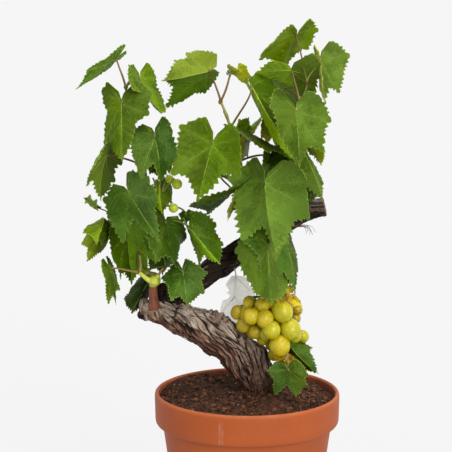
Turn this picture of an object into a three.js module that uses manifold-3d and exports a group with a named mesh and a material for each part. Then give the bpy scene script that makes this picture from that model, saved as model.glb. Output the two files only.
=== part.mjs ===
// Potted grapevine trained as a small gnarled standard.
//
// Frame: millimetres, +Z up. The origin is the centre of the flat underside of
// the pot. +X runs from the leaning trunk head towards the cut end of the old
// arm, and -Y is the side of the plant that carries the fruit.

import * as THREE from 'three';
import { mergeVertices } from 'three/addons/utils/BufferGeometryUtils.js';
import Module from 'manifold-3d';

const wasm = await Module();
wasm.setup();

// ---------------------------------------------------------------- dimensions

// pot: moulded terracotta-coloured nursery pot
const POT_RIM_DIAMETER = 200;      // outside of the collar
const POT_HEIGHT = 180;
const POT_BASE_DIAMETER = 142;     // outside, at the floor
const COLLAR_HEIGHT = 36;
const COLLAR_STEP = 8.5;           // how far the collar stands out of the body
const POT_WALL = 3.4;
const POT_LIP = 4.6;               // thickness of the rolled lip
const POT_FLOOR = 4;
const DRAIN_COUNT = 8;
const DRAIN_DIAMETER = 11;
const DRAIN_CIRCLE = 104;          // diameter of the ring of drainage holes
const POT_SIDES = 40;

// soil
const SOIL_LEVEL = 167.5;          // where it meets the pot wall
const SOIL_CROWN = 172;            // flat patch under the trunk
const SOIL_PATCH = 27;             // radius of that patch
const SOIL_SIDES = 32;

// wood
const SOIL_CUT = SOIL_CROWN + 0.3; // the trunk's flat cut at soil level
const WOOD_SIDES = 12;
const SHOOT_SIDES = 6;

const PAD_LOBES = 5;              // soft lobes round the edge of a pad of leaves
const PAD_LOBING = 0.09;
const PAD_FILL = 1.03;            // makes up for the flats of the faceting

const GAP = 0.32;                  // clearance between neighbouring pieces

// ------------------------------------------------------------------ helpers

// repeatable hash of up to three numbers, in -1..1
const hash = (a, b = 0, c = 0) => {
  const s = Math.sin(a * 127.1 + b * 311.7 + c * 74.7) * 43758.5453;
  return 2 * (s - Math.floor(s)) - 1;
};

// closed three.js geometry -> manifold solid
function solid(geometry) {
  let g = geometry.clone();
  for (const name of Object.keys(g.attributes)) {
    if (name !== 'position') g.deleteAttribute(name);
  }
  g = mergeVertices(g, 1e-4);
  const kept = [];
  const idx = g.index.array;
  for (let i = 0; i < idx.length; i += 3) {
    if (idx[i] !== idx[i + 1] && idx[i + 1] !== idx[i + 2] && idx[i] !== idx[i + 2]) {
      kept.push(idx[i], idx[i + 1], idx[i + 2]);
    }
  }
  return new wasm.Manifold(new wasm.Mesh({
    numProp: 3,
    vertProperties: new Float32Array(g.attributes.position.array),
    triVerts: new Uint32Array(kept),
  }));
}

// manifold solid -> named mesh; only its largest piece is kept
function toMesh(name, body, material) {
  const pieces = body.decompose();
  let best = pieces[0];
  for (const p of pieces) if (p.volume() > best.volume()) best = p;
  const m = best.getMesh();
  const n = m.numProp;
  const count = m.vertProperties.length / n;
  const pos = new Float32Array(count * 3);
  for (let i = 0; i < count; i++) {
    for (let k = 0; k < 3; k++) pos[3 * i + k] = m.vertProperties[n * i + k];
  }
  const g = new THREE.BufferGeometry();
  g.setAttribute('position', new THREE.BufferAttribute(pos, 3));
  g.setIndex(new THREE.BufferAttribute(new Uint32Array(m.triVerts), 1));
  g.computeVertexNormals();
  const mesh = new THREE.Mesh(g, material);
  mesh.name = name;
  return mesh;
}

const joined = (parts) => parts.reduce((a, b) => a.add(b));

// a tapering limb through stations [x, y, z, radius]; grow makes it fatter all
// round, knots makes its girth uneven, cutZ trims it flat at a level
function limb(stations, { sides = WOOD_SIDES, steps = 12, knots = 0, seed = 1, grow = 0 } = {}) {
  const path = new THREE.CatmullRomCurve3(
    stations.map(([x, y, z]) => new THREE.Vector3(x, y, z)), false, 'centripetal');
  const tube = new THREE.CylinderGeometry(1, 1, 1, sides, steps);
  const p = tube.attributes.position;
  const last = stations.length - 1;
  const ref = new THREE.Vector3(0, 1, 0);
  for (let i = 0; i < p.count; i++) {
    const v = new THREE.Vector3().fromBufferAttribute(p, i);
    const t = Math.min(1, Math.max(0, v.y + 0.5));
    const s = t * last;
    const k = Math.min(last - 1, Math.floor(s));
    const f = s - k;
    const e = f * f * (3 - 2 * f);
    const r0 = stations[k][3] * (1 - e) + stations[k + 1][3] * e;
    const angle = Math.atan2(v.z, v.x);
    const lobes = Math.sin(2 * angle + 3.1 * t * last + seed) +
      0.7 * Math.sin(3 * angle - 2.3 * t * last + 2 * seed);
    const onAxis = Math.hypot(v.x, v.z) < 1e-6;
    const r = onAxis ? 0 : r0 * (1 + knots * lobes) + grow;
    const centre = path.getPoint(t);
    const dir = path.getTangent(t);
    const side = new THREE.Vector3().crossVectors(dir, ref).normalize();
    const up = new THREE.Vector3().crossVectors(side, dir).normalize();
    const q = centre.clone()
      .addScaledVector(side, r * Math.cos(angle))
      .addScaledVector(up, r * Math.sin(angle));
    if (grow && (t === 0 || t === 1)) q.addScaledVector(dir, t === 0 ? -grow : grow);
    p.setXYZ(i, q.x, q.y, q.z);
  }
  return solid(tube);
}

// one pad of leaves: centre, half sizes and a turn in the X-Z plane (degrees);
// its edge is drawn out into PAD_LOBES soft lobes and its girth is uneven
function lump({ at, size, turn = 0, seed = 1 }, grow = 0) {
  const g = new THREE.SphereGeometry(1, 3 * PAD_LOBES, 5);
  const p = g.attributes.position;
  const c = Math.cos((turn * Math.PI) / 180);
  const s = Math.sin((turn * Math.PI) / 180);
  for (let i = 0; i < p.count; i++) {
    const v = new THREE.Vector3().fromBufferAttribute(p, i);
    const key = [Math.round(v.x * 1e3), Math.round(v.y * 1e3), Math.round(v.z * 1e3)];
    const around = Math.atan2(v.z, v.x);
    const w = PAD_FILL * (1 + 0.05 * hash(key[0] + seed, key[1], key[2]) +
      PAD_LOBING * Math.cos(PAD_LOBES * around + seed));
    // the sphere's own pole axis runs along the depth of the pad
    const x = v.x * (size[0] * w + grow);
    const z = v.z * (size[2] * w + grow);
    const y = v.y * (size[1] * PAD_FILL + grow);
    p.setXYZ(i, at[0] + x * c - z * s, at[1] + y, at[2] + x * s + z * c);
  }
  return solid(g);
}

// ---------------------------------------------------------------- materials

const paint = (color, roughness) => new THREE.MeshStandardMaterial({ color, roughness, metalness: 0 });
const terracotta = paint(0xb85c2d, 0.55);
const soilMix = paint(0x4f3324, 0.95);
const bark = paint(0x564638, 0.9);
const cane = paint(0x96503a, 0.7);
const greenShoot = paint(0xa9b04a, 0.55);
const leafFront = paint(0x67803a, 0.55);
const leafShade = paint(0x3f5c24, 0.6);
const leafPale = paint(0xb9b7a8, 0.85);
const fruit = paint(0xc6bd5e, 0.35);

// ---------------------------------------------------------------------- pot

function potProfile() {
  const R = POT_RIM_DIAMETER / 2;
  const base = POT_BASE_DIAMETER / 2;
  const H = POT_HEIGHT;
  const neck = H - COLLAR_HEIGHT;
  const body = R - COLLAR_STEP;
  const inner = R - POT_LIP;
  return [
    [0, 0], [base - 1.2, 0], [base, 1.2],
    [body, neck - 1.5],
    [R - 3.2, neck], [R - 0.9, neck + 2], [R, neck + 6],
    [R, H - 3.4], [R - 0.7, H - 1.1], [R - 2.3, H], [R - 3.7, H - 0.9],
    [inner, H - 2.6],
    [inner - 0.8, neck + 8], [body - POT_WALL, neck - 2],
    [base - POT_WALL + 0.3, POT_FLOOR], [0, POT_FLOOR],
  ];
}

function makePot() {
  const profile = potProfile().map(([r, z]) => new THREE.Vector2(r, z));
  const lathe = new THREE.LatheGeometry(profile, POT_SIDES);
  lathe.rotateX(Math.PI / 2);
  let pot = solid(lathe);
  for (let i = 0; i < DRAIN_COUNT; i++) {
    const a = ((i + 0.5) / DRAIN_COUNT) * 2 * Math.PI;
    const drill = new THREE.CylinderGeometry(
      DRAIN_DIAMETER / 2, DRAIN_DIAMETER / 2, 3 * POT_FLOOR, 8);
    drill.rotateX(Math.PI / 2);
    drill.translate(
      (DRAIN_CIRCLE / 2) * Math.cos(a), (DRAIN_CIRCLE / 2) * Math.sin(a), POT_FLOOR / 2);
    pot = pot.subtract(solid(drill));
  }
  return pot;
}

// inside radius of the pot at a level, from the same profile
function potInside(z) {
  const p = potProfile().slice(11);
  for (let i = 0; i < p.length - 1; i++) {
    const [r0, z0] = p[i];
    const [r1, z1] = p[i + 1];
    if (z <= z0 && z >= z1 && z0 !== z1) return r1 + ((r0 - r1) * (z - z1)) / (z0 - z1);
  }
  return p[0][0];
}

function makeSoil() {
  const clear = GAP + 0.25;        // the faceted wall cuts inside its own circle
  const neck = POT_HEIGHT - COLLAR_HEIGHT;
  const prof = [
    [0, POT_FLOOR + GAP],
    [potInside(POT_FLOOR + 0.01) - clear, POT_FLOOR + GAP],
    [potInside(neck - 2) - clear, neck - 2],
    [potInside(neck + 8) - clear, neck + 8 + 0.1],
    [potInside(SOIL_LEVEL) - clear, SOIL_LEVEL],
    [76, SOIL_LEVEL + 0.4], [52, SOIL_LEVEL + 2.2],
    [SOIL_PATCH, SOIL_CROWN], [0, SOIL_CROWN],
  ];
  const g = new THREE.LatheGeometry(prof.map(([r, z]) => new THREE.Vector2(r, z)), SOIL_SIDES);
  const p = g.attributes.position;
  for (let i = 0; i < p.count; i++) {
    const r = Math.hypot(p.getX(i), p.getZ(i));
    const z = p.getY(i);
    if (z > SOIL_LEVEL + 0.3 && r > SOIL_PATCH + 1) {
      const a = Math.atan2(p.getZ(i), p.getX(i));
      p.setY(i, z + 0.9 * Math.sin(3 * a + 1) + 0.6 * Math.sin(5 * a + r));
    }
  }
  g.rotateX(Math.PI / 2);
  // the ring of corners lies inside the ring of the pot's flats
  return solid(g);
}

// --------------------------------------------------------------------- wood

// stations run from the soil to the head: [x, y, z, radius]
const TRUNK = [
  [12, 2, 160, 26], [10, 1, 178, 23], [7.5, 0, 192, 21.3], [2.5, -1, 209, 21.6],
  [-14.5, -2, 230, 20.6], [-34, -3, 243.5, 20.2], [-53, -3, 253, 18.6],
  [-72, -3, 260, 15.8], [-88, -3, 266.5, 13.4], [-104, -2, 271, 11], [-115, -1, 273.5, 7.5],
];
const ARM = [
  [-80, 10, 280, 11.2], [-68, 14, 290, 11.6], [-47, 17, 301.5, 12.2], [-27, 20, 316, 13],
  [-8, 21, 329, 12.2], [20, 20, 347.5, 11], [51, 17, 366, 9.8], [68, 14, 375.5, 9.8], [83, 12, 379, 9.2],
];
const SPUR = [[-101, -9, 268, 8.2], [-101.5, -8.5, 276, 6], [-101, -8, 286, 5.4], [-100.5, -8, 297, 5.2]];
const LEFT_SHOOT = [
  [-99.5, -8, 298.5, 5.6], [-99, -8, 304.5, 6.6], [-107, -7, 309, 4.2], [-114, -7, 315, 3.2],
  [-114.5, -6, 345, 2.7], [-108, -2, 395, 2.5], [-112, 2, 440, 2.3], [-124, 2, 480, 2.1], [-128, 0, 508, 1.9], [-136, -3, 540, 1.5],
];
const CENTRE_SHOOT = [
  [-1, 20, 343, 3.6], [0, 15, 372, 3.1], [-4, 9, 408, 2.7], [-13, 4, 440, 2.4],
  [-20.5, 0, 472, 2.1], [-28, -4, 492, 1.9], [-35, -8, 512, 1.7],
];
const RIGHT_SHOOT = [
  [70, 13, 378, 3.6], [68, 12, 408, 3.1], [60, 8, 440, 2.8], [55, 4, 486, 2.5], [62, 2, 510, 2.2], [58, 0, 528, 1.9],
];
// short side shoots that carry the masses on the far side of the plant
const LEFT_SIDE_SHOOT = [[-111, 1, 425, 1.9], [-114, 16, 436, 1.8], [-122, 34, 446, 1.6]];
const CENTRE_SIDE_SHOOT = [[-3.5, 9.5, 402, 2.1], [-22, 24, 410, 1.9], [-40, 38, 420, 1.7]];
const RIGHT_SIDE_SHOOT = [[59, 8, 444, 2.1], [54, 24, 462, 1.9], [50, 38, 480, 1.7]];
const BUNCH_STALK = [[24, 16, 345, 2.6], [22, 6, 320, 2.3], [20, -6, 300, 2.2], [24, -10, 285, 2.1]];

// ------------------------------------------------------------------- masses

// Every mass is a pad of leaves held on its shoot. Each lump is written as
// [x, y, z, half width, half depth, half height, turn].
const MASSES = {
  foliage_left_tip: [[-156, -6, 531, 33, 17, 11, 38]],
  foliage_left_crest: [[-107, 2, 508, 17, 18, 30, 20]],
  foliage_left_upper: [[-128, -28, 475, 26, 24, 38, 0], [-97, -28, 444, 24, 22, 40, -6]],
  foliage_left_side: [[-150, -24, 421, 19, 20, 34, -15]],
  foliage_left_middle: [[-117, -40, 388, 35, 24, 40, 0], [-90, -24, 350, 28, 24, 36, 0]],
  foliage_left_low: [[-159, -20, 358, 22, 16, 32, 10], [-128, -12, 330, 24, 18, 34, 0], [-147, -16, 303, 10, 13, 30, 0]],
  foliage_left_under: [[-122, 22, 279, 17, 12, 19, -20]],
  foliage_centre_crest: [[-57, -14, 515, 33, 24, 29, 0], [-12, -6, 521, 15, 12, 15, 0]],
  foliage_centre: [[-43, -38, 437, 37, 22, 46, 0], [-5, 6, 450, 15, 16, 32, 0]],
  foliage_centre_low: [[-47, -20, 350, 21, 16, 31, 0], [-66, -34, 306, 25, 15, 27, 0], [-38, -2, 384, 28, 15, 13, 20]],
  foliage_right_crest: [[43, 2, 552, 30, 22, 30, 0], [84, -8, 528, 25, 18, 34, 0], [42, 0, 500, 37, 22, 32, 0]],
  foliage_right_middle: [[27, -36, 470, 24, 18, 48, 32], [60, -26, 462, 30, 19, 41, 0], [76, -2, 420, 14, 14, 30, 10]],
  foliage_right_low: [[24, -46, 390, 42, 18, 52, 0], [22, -32, 328, 33, 18, 45, 0], [47, -8, 322, 12, 13, 36, 0]],
  foliage_foot: [[42, -28, 198, 22, 8, 21, 0], [61, -20, 222, 20, 8, 18, -40]],
  foliage_back_left: [[-132, 42, 468, 30, 24, 42, 0], [-118, 46, 376, 38, 28, 46, 0]],
  foliage_back_centre: [[-50, 44, 438, 32, 26, 42, 0], [-50, 50, 342, 20, 18, 30, 0]],
  foliage_back_right: [[46, 46, 500, 34, 24, 40, 0], [30, 50, 390, 40, 26, 50, 0]],
  withered_leaf: [[-9, 26, 274, 15, 4, 26, -12], [-14, 26, 252, 10, 4, 16, 10]],
  grape_bunch: [[18, -14, 264, 34, 28, 28, 0], [38, -14, 236, 25, 25, 28, 0]],
};

// a mass in full sun, in shade, bleached, or of berries
const MASS_PAINT = (name) => {
  if (name === 'grape_bunch') return fruit;
  if (name === 'withered_leaf') return leafPale;
  return name.includes('back') || name.includes('under') ? leafShade : leafFront;
};

function massSolid(name, grow = 0) {
  return joined(MASSES[name].map(([x, y, z, a, b, c, turn], i) =>
    lump({ at: [x, y, z], size: [a, b, c], turn, seed: name.length * 3 + i }, grow)));
}

// ---------------------------------------------------------------- assembly

const root = new THREE.Group();
const pot = makePot();
root.add(toMesh('pot', pot, terracotta));
root.add(toMesh('soil', makeSoil(), soilMix));

// a box that takes away everything below the trunk's cut
const underground = new THREE.BoxGeometry(200, 200, 100);
underground.translate(0, 0, SOIL_CUT - 50);
const trunkOpt = { steps: 20, knots: 0.035, seed: 2 };
const armOpt = { steps: 16, knots: 0.04, seed: 5 };
const spurOpt = { sides: 10, steps: 5, knots: 0.02, seed: 3 };
const shootOpt = { sides: SHOOT_SIDES, steps: 10, knots: 0, seed: 4 };
const stalkOpt = { sides: SHOOT_SIDES, steps: 4, knots: 0, seed: 4 };

const trunk = limb(TRUNK, trunkOpt).subtract(solid(underground));
const trunkGrown = limb(TRUNK, { ...trunkOpt, grow: GAP });
const spurGrown = limb(SPUR, { ...spurOpt, grow: GAP });
const spur = limb(SPUR, spurOpt).subtract(trunkGrown);
const arm = limb(ARM, armOpt).subtract(trunkGrown).subtract(spurGrown);
const armGrown = limb(ARM, { ...armOpt, grow: GAP });

root.add(toMesh('trunk', trunk, bark));
root.add(toMesh('old_arm', arm, bark));
root.add(toMesh('cane_spur', spur, cane));

const wood = { trunkGrown, armGrown, spurGrown };
for (const [name, stations, opt] of [
  ['left_shoot', LEFT_SHOOT, shootOpt],
  ['centre_shoot', CENTRE_SHOOT, shootOpt],
  ['right_shoot', RIGHT_SHOOT, shootOpt],
  ['bunch_stalk', BUNCH_STALK, stalkOpt],
  ['left_side_shoot', LEFT_SIDE_SHOOT, stalkOpt],
  ['centre_side_shoot', CENTRE_SIDE_SHOOT, stalkOpt],
  ['right_side_shoot', RIGHT_SIDE_SHOOT, stalkOpt],
]) {
  let body = limb(stations, opt);
  for (const g of Object.values(wood)) body = body.subtract(g);
  root.add(toMesh(name, body, greenShoot));
  wood[name] = limb(stations, { ...opt, grow: GAP });
}

// each mass is cut round the wood and round the masses before it
const order = [
  'grape_bunch', 'foliage_left_upper', 'foliage_left_middle', 'foliage_centre', 'foliage_right_low',
  'foliage_right_middle', 'foliage_centre_low', 'foliage_right_crest', 'foliage_centre_crest',
  'foliage_left_tip', 'foliage_left_crest', 'foliage_left_side', 'foliage_left_low', 'foliage_left_under', 'foliage_foot',
  'foliage_back_left', 'foliage_back_centre', 'foliage_back_right', 'withered_leaf',
];
const done = [];
for (const name of order) {
  let body = massSolid(name);
  for (const g of Object.values(wood)) body = body.subtract(g);
  for (const before of done) body = body.subtract(massSolid(before, GAP));
  root.add(toMesh(name, body, MASS_PAINT(name)));
  done.push(name);
}

export default root;
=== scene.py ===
"""A grapevine in a terracotta-coloured pot, built over its CAD frame: leaves, shoots, bark, soil, berries."""
import math
import random

import bpy
import numpy as np
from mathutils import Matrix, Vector
from mathutils.geometry import delaunay_2d_cdt


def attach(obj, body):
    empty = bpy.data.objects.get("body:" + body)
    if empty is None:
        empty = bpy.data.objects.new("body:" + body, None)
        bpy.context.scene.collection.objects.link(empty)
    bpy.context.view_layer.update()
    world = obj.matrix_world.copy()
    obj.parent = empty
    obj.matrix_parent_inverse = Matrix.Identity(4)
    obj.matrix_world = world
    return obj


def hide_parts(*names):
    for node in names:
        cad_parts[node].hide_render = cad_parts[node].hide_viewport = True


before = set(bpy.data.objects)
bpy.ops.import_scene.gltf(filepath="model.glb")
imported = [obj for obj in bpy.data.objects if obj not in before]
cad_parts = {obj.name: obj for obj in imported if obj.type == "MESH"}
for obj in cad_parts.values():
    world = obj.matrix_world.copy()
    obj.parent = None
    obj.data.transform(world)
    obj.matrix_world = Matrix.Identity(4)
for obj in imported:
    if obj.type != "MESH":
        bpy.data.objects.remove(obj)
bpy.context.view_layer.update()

MM = 0.001
rnd = random.Random(11)
scene = bpy.context.scene


def mesh_from(name, verts, faces, mats, index=None, smooth=True, attrs=None):
    """A mesh object from arrays in millimetres; faces are triangles or quads."""
    verts = np.asarray(verts, np.float32) * MM
    faces = [np.asarray(f, np.int32) for f in (faces if isinstance(faces, (list, tuple)) else [faces]) if len(f)]
    me = bpy.data.meshes.new(name)
    me.vertices.add(len(verts))
    me.vertices.foreach_set("co", verts.ravel())
    loops = np.concatenate([f.ravel() for f in faces])
    sizes = np.concatenate([np.full(len(f), f.shape[1], np.int32) for f in faces])
    starts = np.concatenate([[0], np.cumsum(sizes)[:-1]]).astype(np.int32)
    me.loops.add(len(loops))
    me.loops.foreach_set("vertex_index", loops)
    me.polygons.add(len(sizes))
    me.polygons.foreach_set("loop_start", starts)
    me.polygons.foreach_set("loop_total", sizes)
    for m in mats:
        me.materials.append(m)
    if index is not None:
        me.polygons.foreach_set("material_index", np.asarray(index, np.int32))
    me.polygons.foreach_set("use_smooth", np.full(len(sizes), bool(smooth)))
    for k, v in (attrs or {}).items():
        a = me.attributes.new(k, "FLOAT", "POINT")
        a.data.foreach_set("value", np.asarray(v, np.float32))
    me.update(calc_edges=True)
    me.validate()
    ob = bpy.data.objects.new(name, me)
    scene.collection.objects.link(ob)
    return ob


class Heap:
    """Collects many small solids that end up as one joined piece."""

    def __init__(self):
        self.v, self.f, self.m, self.n = [], {3: [], 4: []}, {3: [], 4: []}, 0

    def add(self, verts, faces, mat=0):
        faces = np.asarray(faces, np.int32)
        k = faces.shape[1]
        self.v.append(np.asarray(verts, np.float32))
        self.f[k].append(faces + self.n)
        self.m[k].append(np.broadcast_to(np.asarray(mat, np.int32), (len(faces),)))
        self.n += len(verts)

    def add_mixed(self, verts, tris, quads, mat=0):
        n0 = self.n
        self.v.append(np.asarray(verts, np.float32))
        for k, f in ((3, tris), (4, quads)):
            if len(f):
                f = np.asarray(f, np.int32)
                self.f[k].append(f + n0)
                self.m[k].append(np.broadcast_to(np.asarray(mat, np.int32), (len(f),)))
        self.n += len(verts)

    def triangles(self):
        return sum(len(f) for f in self.f[3]) + 2 * sum(len(f) for f in self.f[4])

    def piece(self, name, mats, slot, nodes=(), smooth=True):
        faces, idx = [], []
        for k in (3, 4):
            if self.f[k]:
                faces.append(np.concatenate(self.f[k]))
                idx.append(np.concatenate(self.m[k]))
        ob = mesh_from(name, np.concatenate(self.v), faces, mats, np.concatenate(idx), smooth)
        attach(ob, "root")
        if nodes:
            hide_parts(*nodes)
        return ob


# ------------------------------------------------------------------ noise
def _hash(ix, iy, iz, seed):
    h = (ix * 374761393 + iy * 668265263 + iz * 2147483647 + seed * 974634777) & 0xFFFFFFFF
    h = ((h ^ (h >> 13)) * 1274126177) & 0xFFFFFFFF
    h = ((h ^ (h >> 16)) * 2246822519) & 0xFFFFFFFF
    return ((h ^ (h >> 15)) & 0xFFFFFF) / float(0xFFFFFF)


def noise3(x, y, z, seed=0):
    """Smooth value noise, 0..1."""
    x, y, z = np.broadcast_arrays(np.asarray(x, float), y, z)
    ix, iy, iz = (np.floor(a).astype(np.int64) for a in (x, y, z))
    fx, fy, fz = x - ix, y - iy, z - iz
    fx, fy, fz = (t * t * t * (t * (t * 6 - 15) + 10) for t in (fx, fy, fz))
    out = 0.0
    for dx in (0, 1):
        wx = fx if dx else 1 - fx
        for dy in (0, 1):
            wy = fy if dy else 1 - fy
            for dz in (0, 1):
                wz = fz if dz else 1 - fz
                out = out + wx * wy * wz * _hash(ix + dx, iy + dy, iz + dz, seed)
    return out


def fbm(x, y, z, octaves=3, seed=0):
    out, a, t = 0.0, 1.0, 0.0
    for o in range(octaves):
        out = out + a * noise3(np.asarray(x) * 2**o, np.asarray(y) * 2**o, np.asarray(z) * 2**o, seed + 17 * o)
        t += a
        a *= 0.5
    return out / t


def smoothstep(a, b, x):
    t = np.clip((x - a) / (b - a), 0, 1)
    return t * t * (3 - 2 * t)


# ------------------------------------------------------------------ curves and limbs
def unit(a):
    a = np.asarray(a, float)
    return a / np.maximum(np.linalg.norm(a, axis=-1, keepdims=True), 1e-9)


def spline(stations, step):
    """Centripetal Catmull-Rom through [x, y, z, r] stations, resampled about every step mm."""
    S = np.array(stations, float)
    P, R = S[:, :3], S[:, 3]
    n = len(P)
    if n == 2:
        t = np.linspace(0, 1, max(2, int(np.linalg.norm(P[1] - P[0]) / step) + 1))[:, None]
        return P[0] * (1 - t) + P[1] * t, R[0] * (1 - t[:, 0]) + R[1] * t[:, 0]
    ext = np.vstack([2 * P[0] - P[1], P, 2 * P[-1] - P[-2]])
    pts, rad = [], []
    for i in range(n - 1):
        p0, p1, p2, p3 = ext[i : i + 4]
        k = max(2, int(round(np.linalg.norm(p2 - p1) / step)))
        d = [max(np.linalg.norm(b - a) ** 0.5, 1e-4) for a, b in ((p0, p1), (p1, p2), (p2, p3))]
        t0, t1 = 0.0, d[0]
        t2 = t1 + d[1]
        t3 = t2 + d[2]
        u = np.linspace(0, 1, k, endpoint=False)
        t = (t1 + (t2 - t1) * u)[:, None]
        a1 = (t1 - t) / (t1 - t0) * p0 + (t - t0) / (t1 - t0) * p1
        a2 = (t2 - t) / (t2 - t1) * p1 + (t - t1) / (t2 - t1) * p2
        a3 = (t3 - t) / (t3 - t2) * p2 + (t - t2) / (t3 - t2) * p3
        b1 = (t2 - t) / (t2 - t0) * a1 + (t - t0) / (t2 - t0) * a2
        b2 = (t3 - t) / (t3 - t1) * a2 + (t - t1) / (t3 - t1) * a3
        pts.append((t2 - t) / (t2 - t1) * b1 + (t - t1) / (t2 - t1) * b2)
        s = u * u * (3 - 2 * u)
        rad.append(R[i] + (R[i + 1] - R[i]) * s)
    pts.append(P[-1:])
    rad.append(R[-1:])
    return np.concatenate(pts), np.concatenate(rad)


def frames(P, start=(0.0, 0.0, 1.0)):
    """Tangents with two side axes carried along the path without spin."""
    T = unit(np.gradient(P, axis=0))
    a = np.array(start, float)
    if abs(np.dot(a, T[0])) > 0.9:
        a = np.array([0.0, 1.0, 0.0])
    A = np.empty_like(P)
    for i, t in enumerate(T):
        a = a - np.dot(a, t) * t
        a = a / np.linalg.norm(a)
        A[i] = a
    return T, A, np.cross(T, A)


def tube(P, R, sides=8, start=(0.0, 0.0, 1.0), flat=1.0, domed=True):
    """A closed tube of the given radii; returns vertices, triangles, quads."""
    P, R = np.asarray(P, float), np.asarray(R, float)
    T, A, B = frames(P, start)
    if domed:  # round the two ends over
        e0, e1 = P[0] - T[0] * R[0] * 0.55, P[-1] + T[-1] * R[-1] * 0.55
    else:
        e0, e1 = P[0], P[-1]
    th = np.arange(sides) * 2 * math.pi / sides
    ring = P[:, None] + (A[:, None] * np.cos(th)[None, :, None] + B[:, None] * np.sin(th)[None, :, None] * flat) * np.asarray(R)[:, None, None]
    n = len(P)
    V = np.vstack([ring.reshape(-1, 3), e0[None], e1[None]])
    i = np.arange(n - 1)[:, None] * sides
    j = np.arange(sides)[None]
    k = (j + 1) % sides
    quads = np.stack([i + j, i + k, i + sides + k, i + sides + j], -1).reshape(-1, 4)
    j, k = j[0], k[0]
    c0 = np.stack([np.full(sides, n * sides), k, j], -1)
    c1 = np.stack([np.full(sides, n * sides + 1), (n - 1) * sides + j, (n - 1) * sides + k], -1)
    return V, np.vstack([c0, c1]), quads


def bezier(p0, p1, p2, p3, n):
    t = np.linspace(0, 1, n)[:, None]
    return (1 - t) ** 3 * p0 + 3 * (1 - t) ** 2 * t * p1 + 3 * (1 - t) * t * t * p2 + t**3 * p3


# ------------------------------------------------------------------ the camera's pinhole, to grow leaves only behind leaves
EYE = np.array([-22.8, -1400.0, 565.7])
PITCH = math.radians(8.36)
FOCAL = 1328.0


def seen_at(P):
    c, s = math.cos(PITCH), math.sin(PITCH)
    d = np.asarray(P, float) - EYE
    depth = d[..., 1] * c - d[..., 2] * s
    up = d[..., 1] * s + d[..., 2] * c
    return np.stack([226 + FOCAL * d[..., 0] / depth, 226 - FOCAL * up / depth], -1)


def spot(px, py, y):
    """The point at depth y that the camera sees at (px, py)."""
    c, s = math.cos(PITCH), math.sin(PITCH)
    dx, dz = (px - 226) / FOCAL, (226 - py) / FOCAL
    ray = np.array([dx, c + dz * s, -s + dz * c])
    return EYE + ray * ((y - EYE[1]) / ray[1])


# ------------------------------------------------------------------ colours and materials
def lin(r, g, b):
    """sRGB 0..255 to linear."""
    return tuple(c / 12.92 if c <= 0.04045 else ((c + 0.055) / 1.055) ** 2.4 for c in (r / 255, g / 255, b / 255)) + (1.0,)


class Graph:
    """A short way to build a material's nodes."""

    def __init__(self, name):
        self.mat = bpy.data.materials.new(name)
        self.mat.use_nodes = True
        self.t = self.mat.node_tree
        self.t.nodes.clear()
        self.out = self.t.nodes.new("ShaderNodeOutputMaterial")
        self.bsdf = self.t.nodes.new("ShaderNodeBsdfPrincipled")
        self.t.links.new(self.bsdf.outputs[0], self.out.inputs[0])

    def node(self, kind, **props):
        n = self.t.nodes.new("ShaderNode" + kind)
        for k, v in props.items():
            setattr(n, k, v)
        return n

    def link(self, a, b):
        self.t.links.new(a, b)

    def coords(self, kind="Object", scale=(1, 1, 1)):
        c = self.node("TexCoord")
        m = self.node("Mapping")
        m.inputs["Scale"].default_value = scale
        self.link(c.outputs[kind], m.inputs[0])
        return m.outputs[0]

    def noise(self, vec, scale, detail=3.0, rough=0.55, distortion=0.0):
        n = self.node("TexNoise")
        n.inputs["Scale"].default_value = scale
        n.inputs["Detail"].default_value = detail
        n.inputs["Roughness"].default_value = rough
        n.inputs["Distortion"].default_value = distortion
        self.link(vec, n.inputs["Vector"])
        return n.outputs[0]

    def ramp(self, fac, stops):
        r = self.node("ValToRGB")
        e = r.color_ramp.elements
        while len(e) < len(stops):
            e.new(0.5)
        for i, (p, c) in enumerate(stops):
            e[i].position = p
            e[i].color = c if len(c) == 4 else tuple(c) + (1.0,)
        self.link(fac, r.inputs[0])
        return r.outputs[0]

    def span(self, fac, lo, hi, a, b):
        r = self.node("MapRange")
        for i, v in zip((1, 2, 3, 4), (lo, hi, a, b)):
            r.inputs[i].default_value = v
        self.link(fac, r.inputs[0])
        return r.outputs[0]

    def math(self, op, a, b=None):
        m = self.node("Math", operation=op)
        for i, v in enumerate((a, b)):
            if v is None:
                continue
            if isinstance(v, (int, float)):
                m.inputs[i].default_value = v
            else:
                self.link(v, m.inputs[i])
        return m.outputs[0]

    def mix(self, fac, a, b, mode="MIX"):
        m = self.node("Mix", data_type="RGBA", blend_type=mode)
        for sock, v in ((m.inputs[0], fac), (m.inputs[6], a), (m.inputs[7], b)):
            if isinstance(v, (int, float)):
                sock.default_value = v
            elif isinstance(v, tuple):
                sock.default_value = v if len(v) == 4 else v + (1.0,)
            else:
                self.link(v, sock)
        return m.outputs[2]

    def set(self, **values):
        names = dict(color="Base Color", rough="Roughness", spec="Specular IOR Level", sss="Subsurface Weight",
                     sss_scale="Subsurface Scale", sss_radius="Subsurface Radius", sheen="Sheen Weight",
                     coat="Coat Weight", coat_rough="Coat Roughness")
        for k, v in values.items():
            s = self.bsdf.inputs[names[k]]
            if isinstance(v, bpy.types.NodeSocket):
                self.link(v, s)
            else:
                s.default_value = v
        return self

    def bump(self, height, strength=0.3, distance=0.0005):
        b = self.node("Bump")
        b.inputs["Strength"].default_value = strength
        b.inputs["Distance"].default_value = distance
        self.link(height, b.inputs["Height"])
        self.link(b.outputs[0], self.bsdf.inputs["Normal"])
        return self


def times(c, k):
    return (c[0] * k, c[1] * k, c[2] * k, 1.0)


def blend2(a, b, t):
    return tuple(a[i] * (1 - t) + b[i] * t for i in range(3)) + (1.0,)


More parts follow.
